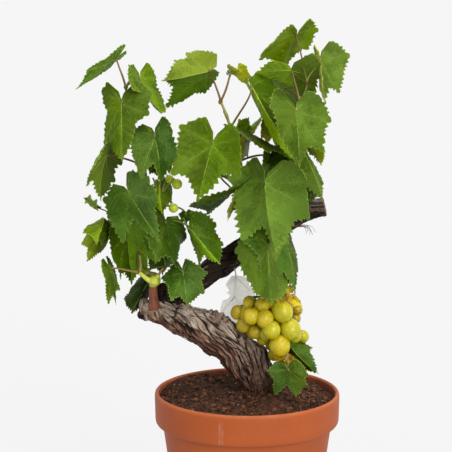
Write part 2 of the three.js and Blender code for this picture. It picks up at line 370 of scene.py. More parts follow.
# What each spray's leaves are painted: sRGB of the upper side. The green_NN paints were matched one leaf half at a time
# to how lit or shaded that half looks, so their darker and paler steps are painted shade and painted light.
TINTS = {
    "mid": (98, 124, 42),
    "meadow": (89, 114, 31),
    "deep": (75, 101, 38),
    "shade": (58, 85, 24),
    "fresh": (94, 122, 31),
    "bright": (98, 122, 26, 1.7, 0.62),
    "bright2": (98, 113, 31),
    "yellow": (130, 144, 29),
    "olive": (82, 97, 17),
    "olive2": (70, 88, 16),
    "moss": (89, 111, 16),
    "pale": (112, 135, 42),
    "yellowgreen": (95, 113, 19),
    "grass": (88, 113, 37),
    "sage": (82, 99, 29),
    "bottle": (71, 95, 20),
    "night": (46, 58, 10),
    "dark": (60, 78, 12),
    "dry": (97, 103, 40),
    "dull": (100, 104, 50),
    "dark_small": (58, 84, 24),
    "green_01": (33, 49, 2),
    "green_02": (41, 71, 2),
    "green_03": (60, 85, 9),
    "green_04": (71, 86, 2),
    "green_05": (68, 92, 3),
    "green_06": (69, 94, 2),
    "green_07": (68, 97, 2),
    "green_08": (71, 94, 11),
    "green_09": (74, 101, 4),
    "green_10": (65, 96, 19),
    "green_11": (76, 106, 2),
    "green_12": (81, 105, 3),
    "green_13": (84, 113, 2),
    "green_14": (72, 102, 33),
    "green_15": (84, 110, 23),
    "green_16": (93, 121, 3),
    "green_17": (97, 128, 11),
    "green_18": (106, 132, 2),
    "green_19": (92, 117, 31),
    "green_20": (105, 122, 21),
    "green_21": (114, 137, 9),
    "green_22": (100, 136, 26),
    "green_23": (109, 141, 45),
    "green_24": (126, 165, 22),
    "green_25": (151, 188, 13),
    "green_26": (148, 154, 51),
    "green_27": (187, 194, 30),
    "green_28": (199, 203, 51),
    "green_29": (203, 203, 105),
    "green_30": (203, 203, 183),
}
GREEN_GAIN = 0.78  # the studio light on a leaf, so that a lit blade shows its tint


def leaf_material(name, color, rough=0.50, spec=0.06, fine=1.0, soft=0.30):
    g = Graph(name)
    vec = g.coords("Object")
    grain = g.noise(vec, 900, 3.0, 0.6)
    cells = g.node("TexVoronoi", feature="DISTANCE_TO_EDGE")
    cells.inputs["Scale"].default_value = 620
    g.link(vec, cells.inputs["Vector"])
    net = g.span(cells.outputs["Distance"], 0.0, 0.12, 0.0, 1.0)
    h = g.math("ADD", g.math("MULTIPLY", grain, 0.5), g.math("MULTIPLY", net, 0.6))
    g.set(color=color, rough=g.span(g.noise(vec, 160, 2.0), 0.3, 0.7, rough - 0.07, rough + 0.08), spec=spec)
    if soft:
        g.set(sss=soft, sss_scale=0.0009, sss_radius=(0.6, 1.0, 0.25))
    g.bump(h, 0.35 * fine, 0.00018)
    return g.mat


_tint_mats = {}


def tint_materials(tint):
    """Upper side (plain, light, deep), underside, rim, main veins and side veins of one tint."""
    if tint not in _tint_mats:
        light, deep = (TINTS[tint] + (1.20, 0.74))[3:5]
        c = times(lin(*TINTS[tint][:3]), GREEN_GAIN)
        yellow = times(lin(186, 196, 96), GREEN_GAIN)
        pale = times(lin(150, 172, 96), GREEN_GAIN)
        under = blend2(c, times(lin(118, 136, 74), GREEN_GAIN), 0.30)
        _tint_mats[tint] = [
            leaf_material(f"leaf_{tint}", c),
            leaf_material(f"leaf_{tint}_light", times(blend2(c, pale, 0.04), light)),
            leaf_material(f"leaf_{tint}_deep", times(c, deep)),
            leaf_material(f"leaf_{tint}_under", under, rough=0.66, spec=0.05),
            leaf_material(f"leaf_{tint}_rim", blend2(times(c, 1.1), yellow, 0.22), rough=0.5),
            leaf_material(f"leaf_{tint}_vein", blend2(times(c, 1.25), yellow, 0.50), rough=0.5, fine=0.3),
            leaf_material(f"leaf_{tint}_side_vein", blend2(times(c, 1.12), pale, 0.20), rough=0.5, fine=0.3),
        ]
    return _tint_mats[tint]


# ---------------------------------------------------------------- leaf shape
# One grapevine leaf: the petiole joins at the origin, +v runs to the tip, +u
# is the leaf's own left, +w its upper side. Lengths are in central-lobe units.
# outline controls on one side: angle from the tip (degrees), radius
LOBE_ANGLES = np.array([0, 9, 23, 33, 43, 53, 68, 83, 98, 113, 130, 142, 151, 160, 170, 180.0])
LOBE_RADII = np.array([1.0, 0.88, 0.745, 0.77, 0.86, 0.77, 0.66, 0.65, 0.69, 0.60, 0.54, 0.48, 0.36, 0.18, 0.06, 0.03])


def side_controls(shape):
    """Outline radii for one side; shape = (sinus, lateral, second sinus,
    basal-lateral, basal peak, lateral turn, basal turn) multipliers."""
    s, l, s2, b, pk = shape[:5]
    m = np.ones(len(LOBE_RADII))
    m[1] = 1.0 + 0.35 * (s - 1.0)
    m[2] = s
    m[3] = 0.5 * (s + l)
    m[4] = l
    m[5] = 0.6 * l + 0.4 * s2
    m[6] = s2
    m[7] = 0.5 * (s2 + b)
    m[8] = b
    m[9] = 0.6 * b + 0.4 * pk
    m[10] = 0.3 * b + 0.7 * pk
    m[11:15] = pk
    return LOBE_RADII * m


def smooth_curve(x, xs, ys):
    """Catmull-Rom through (xs, ys), evaluated at x."""
    x = np.clip(x, xs[0], xs[-1])
    k = np.clip(np.searchsorted(xs, x, side="right") - 1, 0, len(xs) - 2)
    x0, x1 = xs[k], xs[k + 1]
    y0, y1 = ys[k], ys[k + 1]
    km, kp = np.maximum(k - 1, 0), np.minimum(k + 2, len(xs) - 1)
    d0 = (y1 - ys[km]) / np.maximum(x1 - xs[km], 1e-6)
    d1 = (ys[kp] - y0) / np.maximum(xs[kp] - x0, 1e-6)
    # keep the tips sharp: no flattening at the ends
    h = x1 - x0
    t = (x - x0) / h
    return ((2 * t**3 - 3 * t**2 + 1) * y0 + (t**3 - 2 * t**2 + t) * h * d0
            + (-2 * t**3 + 3 * t**2) * y1 + (t**3 - t**2) * h * d1)


def true_angle(t, shape):
    """A side's lobes stand a little wider or closer than the pattern's."""
    ml, mb = shape[5:7]
    return np.interp(t, [0.0, 43.0, 98.0, 146.0, 180.0], [0.0, 43.0 * ml, 98.0 * mb, 146.0, 180.0])


def outline_uv(theta_deg, P):
    """Smooth outline at pattern angles; positive is the leaf's left (+u)."""
    th = np.asarray(theta_deg, float)
    a = np.abs(th)
    r = np.where(th >= 0, smooth_curve(a, LOBE_ANGLES, side_controls(P["left"])),
                 smooth_curve(a, LOBE_ANGLES, side_controls(P["right"])))
    t = np.where(th >= 0, true_angle(a, P["left"]), -true_angle(a, P["right"]))
    t = np.radians(t)
    return r * np.sin(t), r * np.cos(t)


def bend(u, v, w, P):
    """Turns flat leaf coordinates (lobe units) into the leaf's bent shape."""
    th = np.arctan2(u, v)
    r = np.hypot(u, v)
    u = u * P["wx"]
    # fold about the midrib, opening smoothly away from it
    au = np.sqrt(u * u + 0.03**2) - 0.03
    f = np.where(u >= 0, P["fl"], P["fr"]) + P["g"] * au
    side = np.where(u >= 0, 1.0, -1.0)
    nu = side * au * np.cos(f) - w * np.sin(f) * side
    nw = au * np.sin(f) + w * np.cos(f)
    u, w = nu, nw
    # droop of the margin and slow ripples round it
    w = w - P["d"] * r * r
    w = w + P["rip"] * r * r * np.sin(P["rk"] * th + P["rph"])
    # twist along the midrib
    tw = P["tw"] * v
    u, w = u * np.cos(tw) - w * np.sin(tw), u * np.sin(tw) + w * np.cos(tw)
    # curl of the midrib, towards the underside when positive
    c = P["c"]
    if abs(c) > 1e-4:
        a = c * v
        v, w = np.sin(a) / c + w * np.sin(a), -(1 - np.cos(a)) / c + w * np.cos(a)
    return u, v, w


def leaf_axes(P):
    """World directions of the leaf's u, v and w at its petiole."""
    ca, sa = math.cos(P["a"]), math.sin(P["a"])
    # a = 0 hangs straight down with the upper side to the front
    u = np.array([-ca, 0.0, -sa])
    v = np.array([sa, 0.0, -ca])
    w = np.array([0.0, -1.0, 0.0])
    # pitch: the tip goes to the back when positive
    cp, sp = math.cos(P["p"]), math.sin(P["p"])
    v, w = v * cp - w * sp, w * cp + v * sp
    # roll about the midrib: the left half comes forward when positive
    cr, sr = math.cos(P["r"]), math.sin(P["r"])
    u, w = u * cr + w * sr, w * cr - u * sr
    yaw = P.get("yaw", 0.0)
    if yaw:
        cy, sy = math.cos(yaw), math.sin(yaw)
        M = np.array([[cy, -sy, 0], [sy, cy, 0], [0, 0, 1.0]])
        u, v, w = M @ u, M @ v, M @ w
    return u, v, w


def place(u, v, w, P):
    U, V, W = leaf_axes(P)
    s = P["s"]
    J = np.array(P["J"])
    return J + s * (np.outer(u, U) + np.outer(v, V) + np.outer(w, W))


DEFAULTS = dict(J=(0, 0, 0), s=70.0, a=0.0, p=0.0, r=0.0, wx=1.0, fl=0.0, fr=0.0, g=0.0, c=0.15, d=0.03,
                rip=0.03, rk=5.0, rph=0.0, tw=0.0, left=(1, 1, 1, 1, 1, 1, 1), right=(1, 1, 1, 1, 1, 1, 1))


def leaf_params(**kw):
    P = dict(DEFAULTS)
    P.update(kw)
    return P


# ------------------------------------------------------------------ the leaf's blade, teeth and veins
TIP_STOPS = [(0, 23), (43, 23), (43, 70), (98, 70), (98, 122), (146, 122)]  # each tooth row runs from a tip to a sinus
VEIN_ANGLES = (0.0, 43.0, -43.0, 98.0, -98.0, 138.0, -138.0)


def toothed_outline(P, r):
    """The blade's outline in lobe units with its teeth, and each point's height above the smooth line."""
    s = P["s"]
    pts = []
    for side in (1, -1):
        t = np.linspace(0, 172, 345)
        u, v = outline_uv(side * t, P)
        arc = np.concatenate([[0], np.cumsum(np.hypot(np.diff(u), np.diff(v)))]) * s
        tu, tv = np.gradient(u), np.gradient(v)
        k = np.hypot(tu, tv) + 1e-9
        nu, nv = tv / k, -tu / k
        if side < 0:
            nu, nv = -nu, -nv
        flip = np.sign(nu * u + nv * v)
        flip[flip == 0] = 1
        if np.mean(flip[:200]) < 0:
            nu, nv = -nu, -nv

        def at_arc(a, off, lean=0.0):
            a = np.clip(a, 0, arc[-1])
            q = np.interp(a, arc, u) + np.interp(a, arc, nu) * off / s + np.interp(a, arc, tu / k) * lean / s
            w = np.interp(a, arc, v) + np.interp(a, arc, nv) * off / s + np.interp(a, arc, tv / k) * lean / s
            return q, w

        row = []
        unit_tooth = max(2.8, min(6.6, s * 0.096)) * P.get("tooth", 1.0)
        for tip, sinus in TIP_STOPS:
            a0, a1 = np.interp([tip, sinus], t, arc)
            length = abs(a1 - a0)
            n = max(1, int(round(length / (unit_tooth * r.uniform(0.9, 1.12)))))
            w = np.array([r.uniform(0.55, 1.45) for _ in range(n)])
            edges = np.concatenate([[0], np.cumsum(w)]) / w.sum()
            for i in range(n):
                # i = 0 is the tooth next to the lobe's tip
                e0, e1 = edges[i] * length, edges[i + 1] * length
                width = e1 - e0
                high = min(s * 0.056 * r.uniform(0.7, 1.3), width * 0.72) * P.get("bite", 1.0) * (1.2 if i == 0 else 1.0)
                if tip == 146:
                    high *= 0.55
                if tip == 146 and i == 0:
                    high *= 0.4
                sgn = 1 if sinus > tip else -1
                for f, hgt in ((0.0, -0.40), (0.17, 0.12), (0.34, 0.62), (0.52, 0.30), (0.74, -0.04), (0.90, -0.34)):
                    if i == 0 and f < 0.3 and tip != 146:
                        continue  # the lobe's own tip is one point, set below
                    row.append((a0 + sgn * (e0 + width * f), high * hgt, 0.0))
            if tip in (0, 43, 98) and (tip, sinus) in ((0, 23), (43, 70), (98, 122)):
                row.append((a0, s * 0.050 * P.get("bite", 1.0), 0.0))
        a_end = np.interp([146, 160, 172], t, arc)
        row += [(a_end[1], 0.0, 0.0), (a_end[2], 0.0, 0.0)]
        row = sorted(set((round(a, 4), o, l) for a, o, l in row))
        out, last = [], -9.0
        for a, o, l in row:
            if a - last < 0.28:
                continue
            out.append(at_arc(a, o, l))
            last = a
        pts.append(np.array(out))
    left, right = pts
    ring = np.vstack([left[::-1], right[1:]])  # from the sinus on the left, over the tip, to the right
    return ring


def inside(poly, q):
    """Whether each point q lies in the polygon."""
    x, y = q[:, 0][:, None], q[:, 1][:, None]
    x0, y0 = poly[:, 0][None], poly[:, 1][None]
    x1, y1 = np.roll(poly[:, 0], -1)[None], np.roll(poly[:, 1], -1)[None]
    cross = ((y0 > y) != (y1 > y)) & (x < (x1 - x0) * (y - y0) / np.where(y1 == y0, 1e-12, y1 - y0) + x0)
    return cross.sum(1) % 2 == 1


def edge_distance(poly, q):
    a, b = poly, np.roll(poly, -1, 0)
    ab = b - a
    best = np.full(len(q), 1e9)
    for i in range(0, len(q), 400):
        qa = q[i : i + 400, None] - a[None]
        t = np.clip((qa * ab[None]).sum(-1) / np.maximum((ab * ab).sum(-1), 1e-12)[None], 0, 1)
        d = qa - t[..., None] * ab[None]
        best[i : i + 400] = np.sqrt((d * d).sum(-1).min(1))
    return best


def vein_lines(P):
    """The main veins: pattern angle, direction and length in lobe units."""
    out = []
    for a in VEIN_ANGLES:
        u, v = outline_uv(np.array([a]), P)
        out.append((a, np.array([u[0], v[0]])))
    return out


def relief(u, v, P, lines, seed):
    """Height of the blade's middle surface over its flat shape, in lobe units."""
    s = P["s"]
    q = np.stack([u, v], -1)
    dist = np.full(len(u), 1e9)
    along = np.zeros(len(u))
    across = np.zeros(len(u))
    for a, e in lines[:5]:
        L = np.linalg.norm(e)
        d = e / L
        t = q @ d
        c = q[:, 0] * d[1] - q[:, 1] * d[0]
        dd = np.where((t > 0) & (t < L), np.abs(c), np.hypot(np.minimum(np.abs(t), np.abs(t - L)), c))
        m = dd < dist
        dist = np.where(m, dd, dist)
        along = np.where(m, t, along)
        across = np.where(m, c, across)
    r = np.hypot(u, v)
    mm = dist * s
    valley = -0.75 * np.exp(-((mm / 1.5) ** 2)) * np.clip(1.15 - r, 0.1, 1)
    pitch = 0.118 * s
    phase = (along - np.abs(across) * 0.85) * s / pitch
    pucker = 0.72 * np.cos(2 * math.pi * phase) * smoothstep(1.5, 5.0, mm) * P.get("pucker", 1.0)
    slow = 2.2 * (fbm(u * 3.1, v * 3.1, seed * 1.7, 2, seed) - 0.5) * np.clip(r * 1.6, 0, 1)
    fine = 1.1 * (noise3(u * s / 5.0, v * s / 5.0, seed * 0.31, seed + 5) - 0.5) * np.clip(r * 2, 0, 1)
    lift = 0.0
    return (valley + pucker + slow * P.get("crumple", 1.0) + fine + lift) / s, mm


def grow_leaf(P, seed, step=2.7):
    """One blade as a thin closed solid with its veins; returns dicts of arrays in millimetres."""
    r = random.Random(seed)
    s = P["s"]
    ring = toothed_outline(P, r)
    lines = vein_lines(P)
    h = step / s
    lo, hi = ring.min(0), ring.max(0)
    gx = np.arange(lo[0], hi[0] + h, h)
    gy = np.arange(lo[1], hi[1] + h, h * 0.866)
    X, Y = np.meshgrid(gx, gy)
    X = X + (np.arange(len(gy)) % 2)[:, None] * h / 2
    g = np.stack([X.ravel(), Y.ravel()], -1)
    jr = np.random.RandomState(seed % 99991)
    g = g + jr.uniform(-0.2, 0.2, g.shape) * h
    veins = [np.outer(np.arange(0.35, 1.0, h * 0.8 / np.linalg.norm(e)), e) for a, e in lines[:5]]
    veins = np.vstack(veins) if veins else np.zeros((0, 2))
    # the pale rim: a ring just inside the outline
    nxt, prv = np.roll(ring, -1, 0), np.roll(ring, 1, 0)
    t = unit(nxt - prv)
    inner = ring + np.stack([t[:, 1], -t[:, 0]], -1) * (0.62 / s)
    if not inside(ring, inner[::7]).mean() > 0.5:
        inner = ring - np.stack([t[:, 1], -t[:, 0]], -1) * (0.62 / s)
    ok = inside(ring, inner) & (edge_distance(ring, inner) > 0.30 / s)
    inner = inner[ok]
    g = g[inside(ring, g)]
    g = g[edge_distance(ring, g) > max(1.15 / s, 0.42 * h)]
    veins = veins[inside(ring, veins)]
    veins = veins[edge_distance(ring, veins) > 0.7 / s]
    if len(veins) and len(g):
        d = np.sqrt(((g[:, None] - veins[None]) ** 2).sum(-1)).min(1)
        g = g[d > 0.5 * h]
    n_ring, n_in = len(ring), len(inner)
    pts = np.vstack([ring, inner, veins, g])
    res = delaunay_2d_cdt([Vector(p) for p in pts], [], [list(range(n_ring))], 1, 1e-7)
    flat = np.array([list(p) for p in res[0]], float)
    tris = np.array([f for f in res[2] if len(f) == 3], np.int64)
    src = [o[0] if len(o) else -1 for o in res[3]]
    kind = np.array([0 if 0 <= k < n_ring else (1 if 0 <= k < n_ring + n_in else 2) for k in src])
    ea, eb = flat[tris[:, 1]] - flat[tris[:, 0]], flat[tris[:, 2]] - flat[tris[:, 0]]
    area = ea[:, 0] * eb[:, 1] - ea[:, 1] * eb[:, 0]
    tris = tris[np.abs(area) > 1e-9]
    area = area[np.abs(area) > 1e-9]
    # looking down on the upper side, u runs left to right reversed, so wind by the bent surface later
    tris = np.where(area[:, None] > 0, tris, tris[:, ::-1])
    used = np.unique(tris)
    remap = -np.ones(len(flat), np.int64)
    remap[used] = np.arange(len(used))
    flat, kind, tris = flat[used], kind[used], remap[tris]
    w, mm = relief(flat[:, 0], flat[:, 1], P, lines, seed % 997)
    mid = place(*bend(flat[:, 0], flat[:, 1], w, P), P)
    # the thin solid's two skins
    fn = np.cross(mid[tris[:, 1]] - mid[tris[:, 0]], mid[tris[:, 2]] - mid[tris[:, 0]])
    nrm = np.zeros_like(mid)
    for c in range(3):
        np.add.at(nrm, tris[:, c], fn)
    nrm = unit(nrm)
    # which way the upper side faces
    U, V, W = leaf_axes(P)
    probe = place(*bend(flat[:, 0], flat[:, 1], w + 0.01, P), P) - mid
    if (probe * nrm).sum(-1).mean() < 0:
        nrm = -nrm
        tris = tris[:, ::-1]
    thick = np.where(kind == 0, 0.10, 0.17)[:, None]
    top, bot = mid + nrm * thick, mid - nrm * thick
    n = len(mid)
    # boundary edges
    e = np.concatenate([tris[:, [0, 1]], tris[:, [1, 2]], tris[:, [2, 0]]])
    key = {}
    for a, b in e:
        key[(a, b)] = 1
    rim = np.array([(a, b) for a, b in key if (b, a) not in key], np.int64)
    strip = np.stack([rim[:, 1], rim[:, 0], rim[:, 0] + n, rim[:, 1] + n], -1)
    # paint: 0 plain, 1 light, 2 deep, 3 under, 4 rim
    c = flat[tris].mean(1)
    cm = mm[tris].mean(1)
    tone = (fbm(c[:, 0] * 2.3, c[:, 1] * 2.3, seed * 0.77, 2, seed % 31) - 0.5) * 1.9 + 0.26 * np.exp(-((cm / (0.04 * s)) ** 2))
    tone = tone + 0.42 * (np.hypot(c[:, 0], c[:, 1]) - 0.52) + jr.uniform(-0.13, 0.13, len(c))
    paint = np.where(tone > 0.16, 1, np.where(tone < -0.16, 2, 0))
    paint = np.where((kind[tris] < 2).all(1), 4, paint)
    half = (c[:, 0] < 0).astype(int)
    blade = dict(th=np.concatenate([half, half]), v=np.vstack([top, bot]), t=np.vstack([tris, tris[:, ::-1] + n]), q=strip,
                 tm=np.concatenate([paint, np.where((kind[tris] < 2).all(1), 4, 3)]), qm=np.full(len(strip), 4))

    # ---------------- veins
    def surface(q):
        w_, _ = relief(q[:, 0], q[:, 1], P, lines, seed % 997)
        return place(*bend(q[:, 0], q[:, 1], w_, P), P)

    paths = []  # flat path, half width at start and end, paint
    for k, (a, ev) in enumerate(lines):
        L = np.linalg.norm(ev) * s
        main = abs(a) < 120
        m = max(6, int(L / 3.2))
        t = np.linspace(0.0, 0.955 if main else 0.8, m)[:, None]
        bow = np.array([-ev[1], ev[0]]) * 0.018 * math.copysign(1, a if a else r.uniform(-1, 1))
        path = t * ev + np.sin(t * math.pi) * bow
        big = (0.66 if k == 0 else (0.60 if abs(a) < 60 else 0.50)) * P.get("rib", 1.0)
        big *= min(1.0, 0.45 + s / 110)
        paths.append((path, big * (1 if main else 0.7), 0.18, 0))
    dirs = [e / np.linalg.norm(e) for a, e in lines]
    for k, (a, ev) in enumerate(lines[:5]):
        L = np.linalg.norm(ev)
        d = dirs[k]
        nsec = 7 if k == 0 else (5 if abs(a) < 60 else 4)
        if s < 30:
            nsec = max(2, nsec - 3)
        for side in (1, -1):
            perp = np.array([-d[1], d[0]]) * side
            for j in range(nsec):
                f = (j + (0.35 if side > 0 else 0.7)) / (nsec + 0.4) * 0.86 + 0.10 + r.uniform(-0.02, 0.02)
                if f > 0.93:
                    continue
                p = d * L * f
                ang = math.radians(47 + r.uniform(-5, 5))
                q, line = p.copy(), [p.copy()]
                stepv = 3.0 / s
                for _ in range(26):
                    dirn = d * math.cos(ang) + perp * math.sin(ang)
                    q = q + dirn * stepv
                    ang -= math.radians(1.3)
                    own = abs(q @ np.array([-d[1], d[0]]))
                    other = min((abs(q @ np.array([-dd[1], dd[0]])) if q @ dd > 0 else 9) for i, dd in enumerate(dirs) if i != k)
                    if other < own * 0.62:
                        break
                    line.append(q.copy())
                line = np.array(line)
                keep = inside(ring, line)
                if not keep.all():
                    line = line[: max(1, int(np.argmin(keep)))]
                if len(line) >= 3:
                    line = line[:-1] if len(line) > 3 else line
                    paths.append((line, 0.30 * min(1, 0.5 + s / 120), 0.11, 1))
    Vv, Vq, Vth, Vqm, base = [], [], [], [], 0
    flatpts = np.vstack([p[0] for p in paths])
    S0 = surface(flatpts)
    eps = 0.6 / s
    dU = surface(flatpts + [eps, 0]) - S0
    dV = surface(flatpts + [0, eps]) - S0
    N = unit(np.cross(dU, dV))
    pr = place(*bend(flatpts[:, 0], flatpts[:, 1], np.full(len(flatpts), 0.01), P), P) - place(*bend(flatpts[:, 0], flatpts[:, 1], np.zeros(len(flatpts)), P), P)
    if (pr * N).sum(-1).mean() < 0:
        N = -N
    o = 0
    for path, w0, w1, kindv in paths:
        m = len(path)
        C, Nn = S0[o : o + m], N[o : o + m]
        o += m
        T = unit(np.gradient(C, axis=0))
        B = unit(np.cross(T, Nn))
        f = np.linspace(0, 1, m)[:, None]
        wd = w0 * (1 - f) + w1 * f
        up = 0.19 + 0.15 * (1 - f) * (1 if kindv == 0 else 0.6)
        dn = 0.17 + (0.50 if kindv == 0 else 0.22) * (1 - f)
        ringv = np.stack([C + B * wd, C + Nn * up, C - B * wd, C - Nn * dn], 1)
        Vv.append(ringv.reshape(-1, 3))
        i = np.arange(m - 1)[:, None] * 4
        j = np.arange(4)[None]
        k2 = (j + 1) % 4
        qd = np.stack([i + j, i + k2, i + 4 + k2, i + 4 + j], -1).reshape(-1, 4)
        cap = np.array([[3, 2, 1, 0], [(m - 1) * 4, (m - 1) * 4 + 1, (m - 1) * 4 + 2, (m - 1) * 4 + 3]])
        qd = np.vstack([qd, cap]) + base
        Vq.append(qd)
        Vqm.append(np.full(len(qd), kindv))
        Vth.append(np.full(len(qd), int(path[:, 0].mean() < -1e-3)))
        base += m * 4
    veins_out = dict(v=np.vstack(Vv), q=np.vstack(Vq), qm=np.concatenate(Vqm), qh=np.concatenate(Vth))
    return blade, veins_out


# ------------------------------------------------------------------ limbs of the vine (x, y, z, radius), as in the frame
TRUNK = [(12, 2, 160, 26), (10, 1, 178, 23), (7.5, 0, 192, 21.3), (2.5, -1, 209, 21.6), (-14.5, -2, 230, 20.6), (-34, -3, 243.5, 20.2),
         (-53, -3, 253, 18.6), (-72, -3, 260, 15.8), (-88, -3, 266.5, 13.4), (-104, -2, 271, 11), (-115, -1, 273.5, 7.5)]
ARM = [(-80, 10, 280, 11.2), (-68, 14, 290, 11.6), (-47, 17, 301.5, 12.2), (-27, 20, 316, 13), (-8, 21, 329, 12.2),
       (20, 20, 347.5, 11), (51, 17, 366, 9.8), (68, 14, 375.5, 9.8), (83, 12, 379, 9.2)]
SPUR = [(-101, -9, 268, 8.2), (-101.5, -8.5, 276, 6), (-101, -8, 286, 5.4), (-100.5, -8, 297, 5.2)]
LEFT_SHOOT = [(-99.5, -8, 298.5, 5.6), (-99, -8, 304.5, 6.6), (-107, -7, 309, 4.2), (-114, -7, 315, 3.2), (-114.5, -6, 345, 2.7),
              (-108, -2, 395, 2.4), (-112, 2, 440, 2.0), (-124, 2, 480, 1.5), (-128, 0, 507, 1.25)]
CENTRE_SHOOT = [(-1, 20, 343, 3.6), (0, 15, 372, 3.0), (-4, 9, 408, 2.4), (-13, 4, 440, 1.9), (-20.5, 0, 472, 1.45), (-28, -4, 492, 1.3)]
RIGHT_SHOOT = [(70, 13, 378, 3.4), (68, 12, 408, 2.8), (60, 8, 440, 2.3), (55, 4, 486, 1.15), (62, 2, 510, 0.8), (58, 0, 529, 0.7)]
LEFT_SIDE = [(-111, 1, 425, 1.9), (-114, 16, 436, 1.8), (-122, 34, 446, 1.6)]
CENTRE_SIDE = [(-3.5, 9.5, 402, 2.0), (-22, 24, 410, 1.8), (-40, 38, 420, 1.5)]
RIGHT_SIDE = [(59, 8, 444, 2.1), (54, 24, 462, 1.9), (50, 38, 480, 1.7)]
BUNCH_STALK = [(24, 16, 345, 2.6), (22, 6, 320, 2.3), (20, -6, 300, 2.2), (24, -10, 285, 2.1)]


